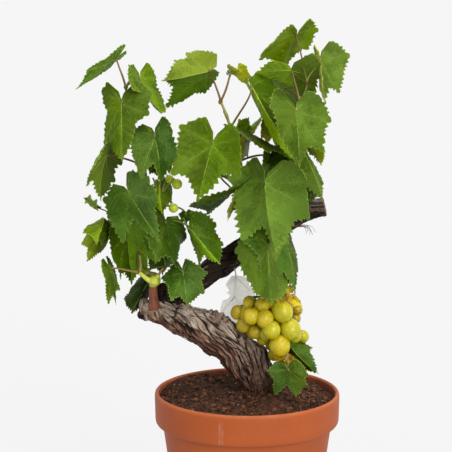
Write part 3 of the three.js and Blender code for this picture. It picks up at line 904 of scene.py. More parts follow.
def bark_limb(stations, step, sides, amp, twist, seed, knots=(), cracks=1.0, cut_end=False, start_flat=True, fibres=1.0, gashes=()):
    """A limb with the relief of old vine bark; returns vertices, triangles, quads and point attributes."""
    P, R = spline(stations, step)
    if not cut_end:  # round the end over
        T = unit(P[-1] - P[-2])
        k = np.arange(1, 12) / 12.0 * math.pi / 2
        P = np.vstack([P, P[-1] + T * (R[-1] * 0.8 * np.sin(k))[:, None]])
        R = np.concatenate([R, R[-1] * np.cos(k)])
    T, A, B = frames(P, (0.0, 1.0, 0.0))
    s = np.concatenate([[0], np.cumsum(np.linalg.norm(np.diff(P, axis=0), axis=1))])
    th = np.arange(sides) * 2 * math.pi / sides
    TH, S = np.meshgrid(th, s)
    girth = R[:, None] / 20.0
    wob = noise3(np.cos(TH) * 1.2, np.sin(TH) * 1.2, S / 40.0, seed + 3)
    wob2 = noise3(np.cos(TH) * 3.0, np.sin(TH) * 3.0, S / 9.0, seed + 4)
    PH = TH + twist * S + 0.62 * (wob - 0.5) + 0.09 * (wob2 - 0.5)
    cx, cy = np.cos(PH), np.sin(PH)
    K = 3.1
    G = np.clip(R[:, None] / 16.0, 0.3, 1.4)  # a thin limb carries fewer fibres round it
    strip = 1 - np.abs(2 * noise3(cx * K * G * 1.5, cy * K * G * 1.5, S / 24.0, seed) - 1)
    strip2 = 1 - np.abs(2 * noise3(cx * K * G * 3.0, cy * K * G * 3.0, S / 15.0, seed + 9) - 1)
    gate = noise3(np.cos(TH) * 1.6, np.sin(TH) * 1.6, S / 20.0, seed + 21)
    crack = smoothstep(0.84, 0.98, strip) * smoothstep(0.30, 0.62, gate) * 1.15
    crack2 = smoothstep(0.80, 0.97, strip2) * (0.35 + 0.8 * (1 - gate))
    fine = noise3(cx * 12 * G, cy * 12 * G, S / 15.0, seed + 31)
    finest = noise3(cx * 26 * G, cy * 26 * G, S / 8.0, seed + 41)
    plate = smoothstep(0.46, 0.56, noise3(cx * 4.2 * G, cy * 4.2 * G, S / 15.0, seed + 81))
    plate2 = smoothstep(0.47, 0.58, noise3(cx * 8.5 * G, cy * 8.5 * G, S / 12.0, seed + 91))
    slab = noise3(cx * K * 0.9, cy * K * 0.9, S / 24.0, seed + 51)
    low = fbm(np.cos(TH) * 1.0, np.sin(TH) * 1.0, S / 26.0, 2, seed + 61)
    dent = smoothstep(0.60, 0.80, noise3(np.cos(TH) * 1.9, np.sin(TH) * 1.9, S / 13.0, seed + 71))
    D = amp * ((low - 0.5) * 3.0 + (slab - 0.5) * 1.7 - crack * 2.3 * cracks - crack2 * 1.0 * cracks + (fine - 0.5) * 1.5 * fibres
               + (finest - 0.5) * 0.7 * fibres + (plate - 0.5) * 1.1 * fibres + (plate2 - 0.5) * 0.55 * fibres - dent * 1.1) * np.clip(girth, 0.35, 1.2) ** 0.6
    D += amp * 0.75
    ring = P[:, None] + (A[:, None] * np.cos(TH)[..., None] + B[:, None] * np.sin(TH)[..., None]) * (R[:, None] + D * np.clip(R[:, None] / 6.0, 0, 1))[..., None]
    for (kx, ky, kz), size, push in knots:
        d2 = ((ring - np.array([kx, ky, kz])) ** 2).sum(-1) / size**2
        out = unit(ring - P[:, None])
        ring = ring + out * (push * np.exp(-d2) * (0.6 + 0.6 * fine + 0.6 * plate2))[..., None]
    gash = np.zeros(ring.shape[:2])
    if gashes:  # long open splits on the side towards the front
        q = seen_at(ring)
        facing = smoothstep(0.35, -0.1, unit(ring - P[:, None])[..., 1])
        for line, wide, depth in gashes:
            line = np.array(line, float)
            best = np.full(q.shape[:2], 1e9)
            for (ax_, ay_), (bx_, by_) in zip(line[:-1], line[1:]):
                L2 = (bx_ - ax_) ** 2 + (by_ - ay_) ** 2
                t = np.clip(((q[..., 0] - ax_) * (bx_ - ax_) + (q[..., 1] - ay_) * (by_ - ay_)) / L2, 0, 1)
                best = np.minimum(best, np.hypot(q[..., 0] - ax_ - t * (bx_ - ax_), q[..., 1] - ay_ - t * (by_ - ay_)))
            ends = np.minimum(np.hypot(q[..., 0] - line[0, 0], q[..., 1] - line[0, 1]), np.hypot(q[..., 0] - line[-1, 0], q[..., 1] - line[-1, 1]))
            w_ = wide * (0.35 + 0.65 * smoothstep(0.0, 5.0, ends)) * (0.7 + 0.6 * fine)
            k = np.exp(-((best / w_) ** 2)) * facing
            ring = ring - unit(ring - P[:, None]) * (k * depth)[..., None]
            gash = np.maximum(gash, smoothstep(0.25, 0.8, k))
    # deep: how dark each point is painted; the cracks, splits and dents get painted shade in their recesses, and dark
    # fibres come at random
    deep = np.clip(1.25 * gash + crack * 0.95 + crack2 * 0.55 + dent * 0.22 + smoothstep(0.40, 0.18, fine) * 0.42 + smoothstep(0.36, 0.14, finest) * 0.26 + (1 - plate) * 0.10, 0, 1)
    tone = np.clip((0.32 * fine + 0.28 * finest + 0.24 * slab + 0.10 * low + 0.06 * plate2 - 0.5) * 2.1 + 0.5, 0, 1)
    # underside_shade: how far the bark faces down, with some noise; the material paints the down-facing side browner
    # and darker as painted shade
    underside_shade = np.clip(0.5 - 0.75 * (A[:, None, 2] * np.cos(TH) + B[:, None, 2] * np.sin(TH)) + 0.9 * (slab - 0.5), 0, 1)
    n = len(P)
    V = ring.reshape(-1, 3)
    deep, tone, underside_shade = deep.ravel(), tone.ravel(), underside_shade.ravel()
    cut = np.zeros(len(V))
    i = np.arange(n - 1)[:, None] * sides
    j = np.arange(sides)[None]
    k = (j + 1) % sides
    quads = [np.stack([i + j, i + k, i + sides + k, i + sides + j], -1).reshape(-1, 4)]
    last = (n - 1) * sides
    if cut_end:  # a sawn face, slightly dished and weathered
        edge = ring[-1]
        centre = edge.mean(0)
        rows = 12
        for q in range(1, rows):
            f = 1 - q / rows
            face = centre + (edge - centre) * f
            dish = 0.9 * math.sin(math.pi * (1 - f) * 0.9) + 0.35 * np.sin(f * 26 + 1.5 * noise3(np.cos(th) * 2, np.sin(th) * 2, q * 0.3, 5))
            split = 1.3 * np.exp(-(((th - 2.1) / 0.10) ** 2)) + 1.0 * np.exp(-(((th - 4.4) / 0.09) ** 2)) + 0.8 * np.exp(-(((th - 0.4) / 0.08) ** 2))
            face = face - T[-1] * (dish * 0.5 + split * (1 - f * 0.3))[:, None] + T[-1] * 0.3
            V = np.vstack([V, face])
            deep = np.concatenate([deep, np.clip(split * 0.6, 0, 1)])
            tone = np.concatenate([tone, 0.5 + 0.3 * np.sin(f * 30) * np.ones(sides)])
            cut = np.concatenate([cut, np.ones(sides)])
            b = len(V) - sides
            jj, kk = j[0], k[0]
            prev = last if q == 1 else b - sides
            quads.append(np.stack([prev + jj, prev + kk, b + kk, b + jj], -1))
        last = len(V) - sides
        tipv = V[last:].mean(0)
        V = np.vstack([V, tipv])
        deep, tone, cut = np.append(deep, 0.5), np.append(tone, 0.5), np.append(cut, 1.0)
    else:
        V = np.vstack([V, P[-1] + T[-1] * R[-1] * 0.3])
        deep, tone, cut = np.append(deep, 0.3), np.append(tone, 0.5), np.append(cut, 0.0)
    apex = len(V) - 1
    jj, kk = j[0], k[0]
    tris = [np.stack([np.full(sides, apex), last + jj, last + kk], -1)]
    V = np.vstack([V, P[0]])
    deep, tone, cut = np.append(deep, 0.6), np.append(tone, 0.4), np.append(cut, 0.0)
    tris.append(np.stack([np.full(sides, apex + 1), kk, jj], -1))
    underside_shade = np.concatenate([underside_shade, np.full(len(V) - len(underside_shade), 0.5)])
    return V, np.vstack(tris), np.vstack(quads), dict(deep=deep, tone=tone, cut=cut, underside_shade=underside_shade)


def limb_piece(name, parts, mats, nodes):
    V, F3, F4, att, n = [], [], [], {"deep": [], "tone": [], "cut": [], "underside_shade": []}, 0
    for v, t, q, a in parts:
        V.append(v)
        F3.append(t + n)
        F4.append(q + n)
        for k in att:
            att[k].append(a[k])
        n += len(v)
    ob = mesh_from(name, np.vstack(V), [np.vstack(F3), np.vstack(F4)], mats, None, True, {k: np.concatenate(v) for k, v in att.items()})
    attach(ob, "root")
    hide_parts(*nodes)
    return ob


def bark_material(name, dark, mid, light, under, lit=1.0, shade=("z", 0.180, 0.256), painted_side_shading=None):
    """Old bark: pale fibre crests and dark cracks; paler and greyer on the upper side high up the `shade` axis, browner
    and darker low along it and underneath, which is painted light and painted shade.
    """
    g = Graph(name)
    obj = g.coords("Object")
    deep = g.node("Attribute", attribute_name="deep").outputs["Fac"]
    tone = g.node("Attribute", attribute_name="tone").outputs["Fac"]
    cut = g.node("Attribute", attribute_name="cut").outputs["Fac"]
    sep = g.node("SeparateXYZ")
    g.link(obj, sep.inputs[0])
    # high: 1 on the upper side and high up the `shade` axis, 0 low down and underneath; the pale grey bark it picks is
    # painted light, the browner, darker bark below is painted shade
    axis, lo, hi = shade
    underside_shade = g.node("Attribute", attribute_name="underside_shade").outputs["Fac"]
    high = g.math("MULTIPLY", g.span(sep.outputs["xyz".index(axis)], lo, hi, 0.0, 1.0), g.span(underside_shade, 0.32, 0.66, 1.0, 0.0))
    n1 = g.noise(obj, 150, 4.0, 0.65)
    n2 = g.noise(obj, 800, 3.0, 0.7)
    n3 = g.noise(obj, 45, 2.0)
    f = g.math("ADD", g.math("MULTIPLY", tone, 0.80), g.math("MULTIPLY", n1, 0.50))
    f = g.math("SUBTRACT", f, 0.16)
    pale = g.ramp(f, [(0.12, dark), (0.36, mid), (0.60, blend2(mid, light, 0.50)), (0.88, times(light, 1.12))])
    brown = g.ramp(f, [(0.12, times(dark, 0.75)), (0.40, times(under, 0.62)), (0.62, times(under, 1.05)), (0.86, blend2(times(under, 1.5), light, 0.35))])
    base = g.mix(high, brown, pale)
    base = g.mix(g.span(n3, 0.50, 0.70, 0.0, 0.45), base, under)
    # pale flecks of light bark, strongest where high is: painted highlights on the lit upper side
    base = g.mix(g.math("MULTIPLY", g.span(n2, 0.42, 0.75, 0.0, 0.55), g.span(high, 0.0, 0.6, 0.12, 1.0)), base, times(light, 1.05))
    # painted light: the trunk's left part, on its upper side, paler towards the light bark
    if painted_side_shading:
        base = g.mix(g.math("MULTIPLY", g.span(sep.outputs[0], -0.022, -0.050, 0.0, 0.46), g.math("MULTIPLY", high, g.span(f, 0.2, 0.5, 0.25, 1.0))), base, times(light, 0.98))
    base = g.mix(g.span(g.noise(obj, 520, 3.0, 0.7), 0.30, 0.46, 0.45, 0.0), base, times(dark, 0.7))
    # painted shade: the trunk's right part below top_ darkened nearly to black
    if painted_side_shading:
        lo_, hi_, much, top_ = painted_side_shading
        low_part = g.span(sep.outputs[2], top_ - 0.02, top_ + 0.01, 1.0, 0.0)
        base = g.mix(g.math("MULTIPLY", g.span(sep.outputs[0], lo_, hi_, 0.0, much), low_part), base, times(dark, 0.40))
    # cracks, splits and dents darkened nearly to black: painted shade in the recesses
    base = g.mix(g.span(deep, 0.16, 0.95, 0.0, 0.92), base, times(dark, 0.40))
    ends = g.ramp(g.math("ADD", g.math("MULTIPLY", tone, 0.7), g.math("MULTIPLY", n1, 0.3)), [(0.2, times(lin(58, 45, 36), lit)), (0.6, times(lin(104, 84, 66), lit)), (0.9, times(lin(136, 116, 96), lit))])
    base = g.mix(cut, base, g.mix(g.span(deep, 0.2, 0.8, 0, 0.9), ends, times(dark, 0.5)))
    g.set(color=base, rough=g.span(n1, 0.3, 0.7, 0.78, 0.94), spec=0.16)
    h = g.math("ADD", g.math("MULTIPLY", n2, 0.5), g.math("MULTIPLY", g.noise(obj, 300, 4.0, 0.7), 0.9))
    g.bump(h, 0.75, 0.0007)
    return g.mat


def stem_material(name, base, alt, dark, rough=0.5, scale=60, streak=0.5):
    """Green or reddish skin of a shoot or leaf stalk with faint ribs and specks."""
    g = Graph(name)
    obj = g.coords("Object")
    rib = g.coords("Object", (1, 1, 0.16))
    n = g.noise(obj, scale, 3.0)
    st = g.noise(rib, 900, 2.0, 0.5)
    c = g.mix(g.span(n, 0.38, 0.66, 0.0, 1.0), base, alt)
    c = g.mix(g.span(st, 0.55, 0.75, 0.0, streak), c, dark)
    g.set(color=c, rough=rough, spec=0.35)
    g.bump(g.math("ADD", st, g.math("MULTIPLY", g.noise(obj, 1500, 2.0), 0.4)), 0.4, 0.0003)
    return g.mat


# ------------------------------------------------------------------ bark: trunk, old arm, spur
BARK_GAIN = 0.95
bark_mat = bark_material("old_bark", times(lin(50, 37, 28), BARK_GAIN), times(lin(106, 87, 71), BARK_GAIN),
                         times(lin(172, 157, 141), BARK_GAIN), times(lin(96, 64, 47), BARK_GAIN), painted_side_shading=(0.017, 0.034, 0.85, 0.225))
# arm_bark: near-black at the arm's left, where it lies in the leaves' shade, paler towards its right end along the x
# span: painted shade and painted light
arm_mat = bark_material("arm_bark", times(lin(26, 18, 11), BARK_GAIN), times(lin(92, 74, 58), BARK_GAIN),
                        times(lin(160, 146, 132), BARK_GAIN), times(lin(38, 26, 16), BARK_GAIN), shade=("x", 0.022, 0.070))
# the stump and the small stubs by it: near-black copies of the bark, painted shade
shaded_stump_mat = bark_material("shaded_stump_bark", times(lin(18, 12, 8), 0.9), times(lin(34, 25, 18), 0.9), times(lin(70, 56, 44), 0.9), times(lin(30, 20, 13), 0.9))
cane_mat = stem_material("cane_bark", times(lin(140, 74, 40), 0.74), times(lin(118, 60, 34), 0.74), times(lin(176, 132, 104), 0.78), rough=0.55, scale=90, streak=0.55)


collar_mat = bark_material("collar_bark", times(lin(84, 64, 54), BARK_GAIN), times(lin(142, 116, 102), BARK_GAIN), times(lin(184, 164, 150), BARK_GAIN), times(lin(142, 108, 90), BARK_GAIN), shade=("z", 0.10, 0.12))


def knot(px, py, y, size, push):
    return tuple(spot(px, py, y)), size, push


TRUNK_TIP = [(-88, -3, 266, 12.8), (-101, -3, 269.5, 10.6), (-109, -3, 271.2, 8.6)]
SPLITS = [(((245.3, 338), (247.5, 349.8), (251.3, 360.3), (254.3, 371)), 1.1, 3.2), (((254.3, 350), (256.1, 355), (257.6, 361.8), (258.8, 368.5)), 1.0, 3.6),
          (((260.3, 356), (262.5, 364), (263.3, 371)), 0.8, 2.2), (((266.5, 340), (270, 350), (270.8, 358)), 1.6, 2.6),
          (((240, 361), (244.5, 367), (249.8, 376)), 1.5, 2.4), (((232.5, 347.5), (240, 349.8), (246, 355)), 0.8, 1.8),
          (((192.8, 310), (204, 322.8), (212, 337), (220, 345)), 0.8, 2.0), (((178.4, 318), (186.4, 326), (194.4, 334)), 0.7, 1.8),
          (((200.8, 308.4), (208.8, 320), (216.8, 327.6), (226, 333)), 0.8, 2.2), (((160, 314), (166, 322), (176, 329)), 0.8, 1.8),
          (((228, 326), (236, 335), (241, 346)), 0.8, 2.0), (((214, 330), (224, 341), (231, 354)), 0.7, 1.6), (((168, 309), (178, 312), (188, 320)), 0.6, 1.4)]
TRUNK_SEEN = [(28, 3, 160, 12.5), (24, 3, 176, 13.0), (18.8, 2, 185, 15.2), (13.6, 1, 192.5, 17.6), (7.6, 0, 200, 19.8), (1.2, -1, 209.5, 21.4), (-14.5, -2, 229, 20.2), (-34, -3, 242.4, 19.4),
              (-53, -3, 252, 18.0), (-72, -3, 259.4, 15.6)]
trunk = bark_limb(TRUNK_SEEN + TRUNK_TIP, 0.60, 240, 1.30, -0.013, 5, gashes=SPLITS, cracks=0.72, fibres=1.15,
                  knots=[knot(214, 314, -9, 5.5, 3.2), knot(222, 318, -8, 4.5, 3.4), knot(228, 322, -7, 3.6, 2.4), knot(198, 309, -4, 9, -2.2),
                         knot(210, 309, -2, 3.5, 1.6), knot(246, 335, -6, 4, 0.8), knot(270, 352, -3, 8, 1.6),
                         knot(184, 305, -7, 5, 1.8), knot(174, 334, -9, 3.5, 1.2), knot(155, 318, -14, 7, 2.2)])


def wood_end(stations, amp, seed, sides=88, cut_end=True, step=0.6):
    return bark_limb([tuple(spot(px, py, y)) + (r,) for px, py, y, r in stations], step, sides, amp, -0.01, seed, cracks=0.8, fibres=0.9, cut_end=cut_end)


block = wood_end([(149, 317, -4, 6.4), (145.6, 311, -6, 5.8), (144.0, 305, -6, 5.0), (143.8, 301.5, -6, 4.0)], 1.1, 61, 88, False)
ball = wood_end([(148, 313.5, -4, 4.4), (142.8, 314.6, -6, 4.6), (140.2, 314.8, -6, 4.0)], 0.9, 67, 72, False)
stump = wood_end([(168, 316, -1, 10.5), (166.5, 303, 0, 9.0), (164, 291, 1, 6.8), (162.5, 283, 2, 5.0)], 1.2, 71, 110)
stump2 = wood_end([(181, 312, -3, 6.0), (181.5, 304, -3, 5.0), (183.5, 299.5, -3, 3.6)], 0.9, 73, 80, False)
burls = [wood_end(q, 0.34, 90 + n, 56, False, 0.5) for n, q in enumerate((
    [(209, 317, -9, 3.0), (210.5, 312.5, -9, 2.9), (211.5, 310.6, -9, 2.0)], [(213.5, 319, -10, 3.2), (215.5, 313.6, -10, 3.3), (216.6, 311.6, -9, 2.2)],
    [(218, 321, -11, 3.2), (220.6, 316.2, -11, 3.6), (222.4, 313.8, -10, 2.4)], [(223, 324, -11, 3.4), (226, 319.6, -11, 3.4), (227.8, 318.2, -10, 2.4)],
    [(226, 328, -10, 3.0), (228.8, 324.2, -10, 2.8), (229.8, 323, -9, 1.8)], [(186, 311, -10, 3.0), (187.6, 306.6, -9, 2.6), (190, 305.4, -8, 1.6)],
    [(244, 338, -10, 3.0), (247, 334.6, -9, 2.4), (248.4, 334, -8, 1.4)]))]
limb_piece("trunk_bark", [trunk, block], [bark_mat], ["trunk"])
limb_piece("trunk_burls", burls, [bark_mat], ["trunk"])
limb_piece("shaded_stump_bark", [ball, stump, stump2], [shaded_stump_mat], ["trunk"])
arm = bark_limb(ARM, 0.62, 170, 0.95, -0.020, 23, cut_end=True,
                knots=[((-20, 8, 322), 6, 1.6), ((46, 8, 362), 6, 1.5), ((80, 4, 388), 4.5, 1.8), ((82, 4, 371), 4.5, 1.6), ((84, 14, 390), 4, 1.2)])
limb_piece("arm_bark", [arm], [arm_mat], ["old_arm"])
SPUR_SEEN = [(154.8, 314, -6, 6.6), (154.6, 309, -11, 6.9), (154.2, 305.5, -12, 6.2), (153.6, 300, -12, 5.0), (153.2, 294, -12, 4.6), (153.2, 287, -12, 4.4), (154.2, 283, -11, 4.2)]
spur = bark_limb([tuple(spot(px, py, y)) + (r,) for px, py, y, r in SPUR_SEEN], 0.45, 104, 0.24, -0.006, 41, cracks=0.25, fibres=0.45)
SHEATH = [(158.0, 317, -5, 6.4), (156.6, 314.4, -10.5, 7.6), (155.4, 311.4, -12.4, 8.0), (154.9, 308.8, -12.6, 7.7)]
sheath = wood_end(SHEATH, 0.42, 143, 96, True, 0.45)
limb_piece("spur_bark", [spur], [cane_mat], ["cane_spur"])
limb_piece("spur_collar", [sheath], [collar_mat], ["trunk"])

# ------------------------------------------------------------------ leaves seen from the front: joint, size and pose
# a leaf's two halves get different paints where one half faces the light and the other lies in shade: painted light and
# painted shade
# name: (paint of the left half, of the right half, joint, lobe length, lean, pitch, roll, left fold, right fold, curl, breadth, fold spread, twist, left shape, right shape)
FRONT = {
    "A": ("green_23", "green_23", (-136.9, -6, 536.9), 53.4, -0.82, -0.2, 1.3, -0.1, -0.12, 0.2, 0.79, -0.18, 0.16, (1.14, 0.97, 1.06, 0.69, 0.81, 0.96, 0.65), (1.17, 0.9, 1.23, 1.03, 0.7, 0.84, 0.88)),
    "B": ("green_12", "green_16", (-112, -2, 515.5), 46.6, 0.32, -0.39, 1, 0.41, 0.12, -0.58, 1.04, -0.23, 0.12, (0.88, 1, 0.99, 0.76, 0.79, 1.26, 1.19), (1.19, 0.83, 0.83, 0.85, 1.13, 1.17, 1.06)),
    "C": ("green_16", "green_08", (-130.2, -34, 493.2), 65, 0.03, -0.53, -0.29, -0.46, -0.09, 0, 1.01, -0.2, -0.18, (0.98, 0.87, 0.6, 0.95, 1.23, 1.18, 1.31), (0.66, 0.6, 0.72, 0.74, 0.95, 1.4, 1.04)),
    "D": ("green_13", "green_18", (-146.8, -24, 439.5), 49.5, -0.36, 0.22, 4, 0.68, -0.13, 0.56, 1.04, -0.59, -0.27, (1.2, 0.9, 1, 1.01, 1, 0.89, 0.71), (0.9, 1.09, 1.15, 0.98, 0.98, 1.06, 1.03)),
    "E": ("green_03", "green_02", (-95.3, -46, 460.8), 56.2, 0.24, -0.78, 0.21, 0.07, 0.1, 0.78, 0.79, -0.15, 0.71, (0.88, 1.14, 1.06, 0.92, 1.04, 0.81, 1.09), (0.98, 0.77, 0.78, 0.6, 1.05, 1.12, 0.95)),
    "F": ("green_10", "green_14", (-122.1, -54, 403.1), 62.8, 0.57, -0.53, -0.32, 0.07, 0.22, 0.15, 0.91, -0.02, -0.02, (0.6, 1, 0.97, 0.8, 0.77, 1.11, 1.11), (0.92, 0.8, 1, 0.79, 0.72, 1.08, 0.81)),
    "G": ("green_12", "green_17", (-36.6, -44, 452.1), 61.2, -0.27, -0.11, -0.48, -0.03, -0.05, 0.15, 1.09, 0.6, 0.78, (0.96, 0.95, 0.89, 0.85, 1.04, 0.94, 1.05), (0.76, 0.84, 1, 1.02, 1.01, 1.32, 1.1)),
    "H": ("green_20", "green_11", (-40.2, -16, 525.2), 51.6, -1.26, -0.52, 0.56, -1.5, -0.44, 0.35, 1.01, 0.18, 0.05, (1.12, 0.88, 0.96, 0.97, 1.38, 1.06, 0.8), (1.13, 1.38, 1.01, 0.99, 0.85, 1.02, 0.96)),
    "I": ("green_27", "green_27", (-10, -6, 524.6), 19.1, 0.53, 0.12, -0.61, -0.37, -0.02, 0.18, 0.99, 0.13, -0.18, (1.03, 0.88, 1.02, 1.05, 1.09, 0.99, 0.85), (1, 0.99, 1.01, 0.89, 0.99, 1.07, 0.92)),
    "J1": ("green_25", "green_09", (3.7, -36, 507.7), 93.8, 0.54, -0.72, -0.01, -1.25, -0.9, 0.87, 0.84, -0.5, 0.2, (1, 1.05, 1.13, 0.77, 1, 0.99, 1.21), (1, 0.78, 1, 0.96, 0.99, 1.05, 1.31)),
    "K": ("green_08", "green_15", (47.5, -62, 486.2), 54.8, 0.1, -0.34, 0.45, 0.1, 0.07, 0.1, 1.13, 0.03, 0.13, (1.1, 0.76, 0.75, 0.71, 1.1, 0.81, 0.96), (0.97, 0.99, 1, 0.92, 1.03, 0.76, 0.76)),
    "L": ("green_18", "green_25", (46.2, 8, 524.7), 59.4, 0.2, 0.88, 3.14, -0.33, 0.11, 0.15, 1.06, -0.17, -0.38, (1.02, 0.69, 0.8, 0.7, 1.35, 0.99, 0.85), (1, 0.89, 1.18, 0.92, 1.13, 0.91, 1.08)),
    "M": ("green_21", "green_18", (50.5, 2, 560), 47.1, -0.45, 0.66, 0.87, -0.41, -0.48, -0.26, 1.11, 0.65, -0.36, (1.08, 1.05, 1.13, 1.06, 1.1, 0.97, 0.96), (0.89, 0.78, 0.95, 0.88, 0.93, 1.12, 0.94)),
    "N": ("green_29", "green_19", (75.3, -10, 536.9), 46.2, 0.09, -0.2, -0.09, -1.12, 0.14, 0.16, 0.97, -0.48, -0.16, (1.05, 0.99, 0.99, 1.07, 1.04, 0.99, 0.93), (0.95, 0.99, 0.99, 1, 1.02, 0.6, 0.94)),
    "O": ("green_29", "green_27", (64.4, -4, 466.6), 42.5, 0.23, -0.11, -0.9, -0.33, 0.26, 0.16, 0.98, 0.06, -0.05, (1.11, 1.05, 1, 1, 1, 0.95, 1), (1.2, 1.02, 0.99, 1, 1, 0.97, 0.98)),
    "P": ("green_05", "green_15", (58.1, -6, 441.6), 58.9, 0.54, -0.73, 0.4, 0, -0.93, 0.75, 1.02, -0.35, -0.07, (0.96, 1, 1, 1.03, 0.96, 0.98, 1.03), (1.09, 1.01, 0.96, 0.93, 1.02, 1.04, 0.92)),
    "Q": ("green_23", "green_23", (16.9, -52, 412.4), 72.9, 0.03, -0.17, -0.81, -0.63, -0.72, 0.29, 1.2, 0.94, 0.02, (0.88, 1.1, 0.95, 0.87, 1.04, 0.78, 1.03), (0.92, 1.04, 1.14, 0.99, 0.82, 1.3, 0.9)),
    "R": ("green_15", "green_19", (21.2, -38, 343.6), 60.4, 0.01, -0.39, 0.21, -0.58, -0.37, -0.31, 0.96, -0.34, 0.01, (1.13, 0.76, 1.01, 1.03, 1.08, 1.01, 0.94), (1.15, 0.88, 1.04, 0.94, 1, 1.13, 0.85)),
    "S": ("green_10", "green_03", (38.6, -16, 349.7), 61.4, 0.4, -0.54, 0.65, 0.23, -0.42, 0.62, 1.04, -0.63, 0.19, (0.9, 1, 1, 1, 1, 0.96, 1), (0.95, 0.89, 1.18, 1.03, 0.99, 0.98, 1.04)),
    "T": ("green_14", "green_19", (42.7, -46, 214.4), 32.9, 0.25, 0.18, -0.31, 0.09, 0.16, 0.04, 1.06, 0.03, -0.02, (0.74, 1.18, 0.93, 0.93, 0.95, 0.88, 1.01), (1.04, 0.86, 0.9, 0.94, 1.01, 0.98, 0.72)),
    "U": ("green_03", "green_03", (44.2, -28, 235.7), 44.4, 0.77, -0.83, -0.26, -0.9, -1.3, 0.67, 0.99, -0.17, 0.1, (1, 0.92, 1, 0.91, 1, 0.99, 1.22), (1.12, 0.89, 0.98, 1.11, 1.06, 0.89, 0.96)),
    "V": ("green_05", "green_19", (-157.9, -26, 383.3), 17.3, -2.17, 0.38, -0.22, 0.6, 0.7, -0.29, 1.18, 1.57, 0.02, (1, 1.05, 1, 0.97, 1, 1.13, 0.97), (1, 1.15, 1, 1.06, 1, 1.09, 0.91)),
    "W": ("green_21", "green_06", (-150.6, -28, 370.9), 32.7, -0.2, -1.07, 0.02, -0.81, -1.1, 0.71, 1.06, 0.15, 0.44, (1, 0.94, 1, 0.88, 1.03, 1.09, 1.13), (1, 1.1, 1, 1.04, 0.97, 1.01, 1.01)),
    "X": ("green_21", "green_20", (-157.4, -20, 350.1), 29.4, -0.43, 0.16, 0.07, -0.21, -0.29, 0.1, 1.01, -0.96, 0.1, (0.78, 0.96, 1, 1, 1, 1.02, 1), (0.96, 0.96, 1, 1, 1, 1.09, 1)),
    "Y": ("green_12", "green_16", (-144.2, -26, 318.7), 39.3, 0.32, -0.04, 1.42, -0.14, -0.2, 0.33, 1.03, 0.16, -0.02, (1, 1.22, 1.18, 0.94, 0.9, 0.9, 0.97), (1, 1.15, 1, 0.99, 0.91, 1.02, 0.6)),
    "Z": ("green_09", "green_24", (-127.8, -8, 349.3), 56.4, 0.08, 0.23, 0.09, 0.42, 0.43, 0.08, 0.88, 0.95, 0.35, (0.96, 0.96, 1, 1.09, 1, 0.85, 0.79), (1, 0.91, 1, 1.05, 1, 0.84, 0.84)),
    "AA": ("green_22", "green_22", (-111.4, -30, 363.3), 40.7, 0.36, 0, -0.41, -0.03, 0.18, 0.05, 0.76, -0.01, -0.03, (1.07, 0.84, 1, 0.84, 1, 0.97, 0.77), (1.13, 0.97, 1, 1.01, 1, 0.94, 0.74)),
    "AB": ("green_03", "green_10", (-86.1, -18, 366.6), 53.4, 0.21, -0.77, -0.07, 1.33, -0.73, 1.16, 1.11, -0.73, 0.4, (1, 0.97, 1, 1, 1, 0.96, 1), (1.1, 1.01, 1.16, 0.96, 0.96, 1.05, 1.05)),
    "AC": ("green_24", "green_07", (-58.2, -26, 357.8), 43.7, 0.69, -0.2, -0.65, -0.4, -0.72, 0.13, 0.95, -0.38, 0.8, (0.91, 1.08, 1.07, 0.94, 1.2, 1, 0.93), (1.23, 1.02, 1.02, 0.95, 1.06, 0.87, 0.74)),
    "AD": ("green_10", "green_14", (-67.6, -40, 317.2), 35.1, 0.16, -0.24, -0.43, -0.13, 0.11, -0.03, 0.99, 0, 1.15, (1, 1.05, 1, 1.15, 0.95, 0.76, 0.89), (1.18, 1.01, 0.99, 1.13, 0.99, 0.94, 0.81)),
    "AE": ("green_01", "green_01", (-107.5, 16, 295.2), 37.9, -0.49, -0.7, 0.05, -0.55, -0.64, 0.36, 1.06, -0.85, 0.18, (1.23, 0.99, 1, 1.01, 1, 1, 1), (1.02, 0.93, 1, 1, 1, 1.03, 1)),
    "AF": ("green_06", "green_11", (-15.6, -2, 396.2), 51.5, -0.89, -0.53, 0.84, 0.75, -0.57, 1, 1.18, -0.15, -0.28, (1.25, 0.98, 1.03, 1, 1, 0.89, 0.99), (1.01, 1.03, 1.11, 0.91, 1.03, 1.03, 1.02)),
    "AG": ("green_26", "green_20", (-11.8, -14, 396), 30.5, -0.3, 0.02, 1.27, 0.12, -0.05, 0.02, 1, 0.1, -0.09, (1.04, 0.96, 0.99, 1, 1, 1.03, 1), (1.02, 0.95, 1, 1, 1, 1.02, 1)),
    "AH": ("green_28", "green_30", (-1.5, 2, 449.5), 24, -0.11, 0.01, 1.86, -0.9, 0.52, 0.31, 1.05, 0.1, -0.16, (1, 0.99, 1, 0.98, 1, 1.06, 0.98), (1, 0.96, 1.01, 1, 1, 1.01, 1.02)),
    "AH2": ("green_24", "green_21", (-5.8, 4, 455.8), 20.5, 2.72, 0.09, -0.55, -0.25, 0.1, 0.19, 1, -0.11, -0.14, (1.06, 1.04, 1, 1, 1, 0.95, 1), (1.22, 1.05, 1, 1, 1, 0.96, 1)),
    "AI": ("green_28", "green_28", (21.6, 2, 468.4), 21, 0, 0.12, 0.02, 0.55, 0.49, 0.23, 0.97, 0.56, -0.06, (1, 0.97, 1.03, 0.99, 1, 0.99, 0.97), (0.99, 1.01, 1, 1, 1, 0.99, 1)),
    "AJ": ("green_26", "green_25", (4.7, 4, 463.9), 21.5, 2.53, 0.03, 1.36, 0.03, -0.07, 0.14, 1, -0.08, 0.26, (1, 0.94, 0.99, 1.03, 1, 1.02, 1.01), (1, 0.98, 0.99, 1, 1, 1.02, 1.01)),
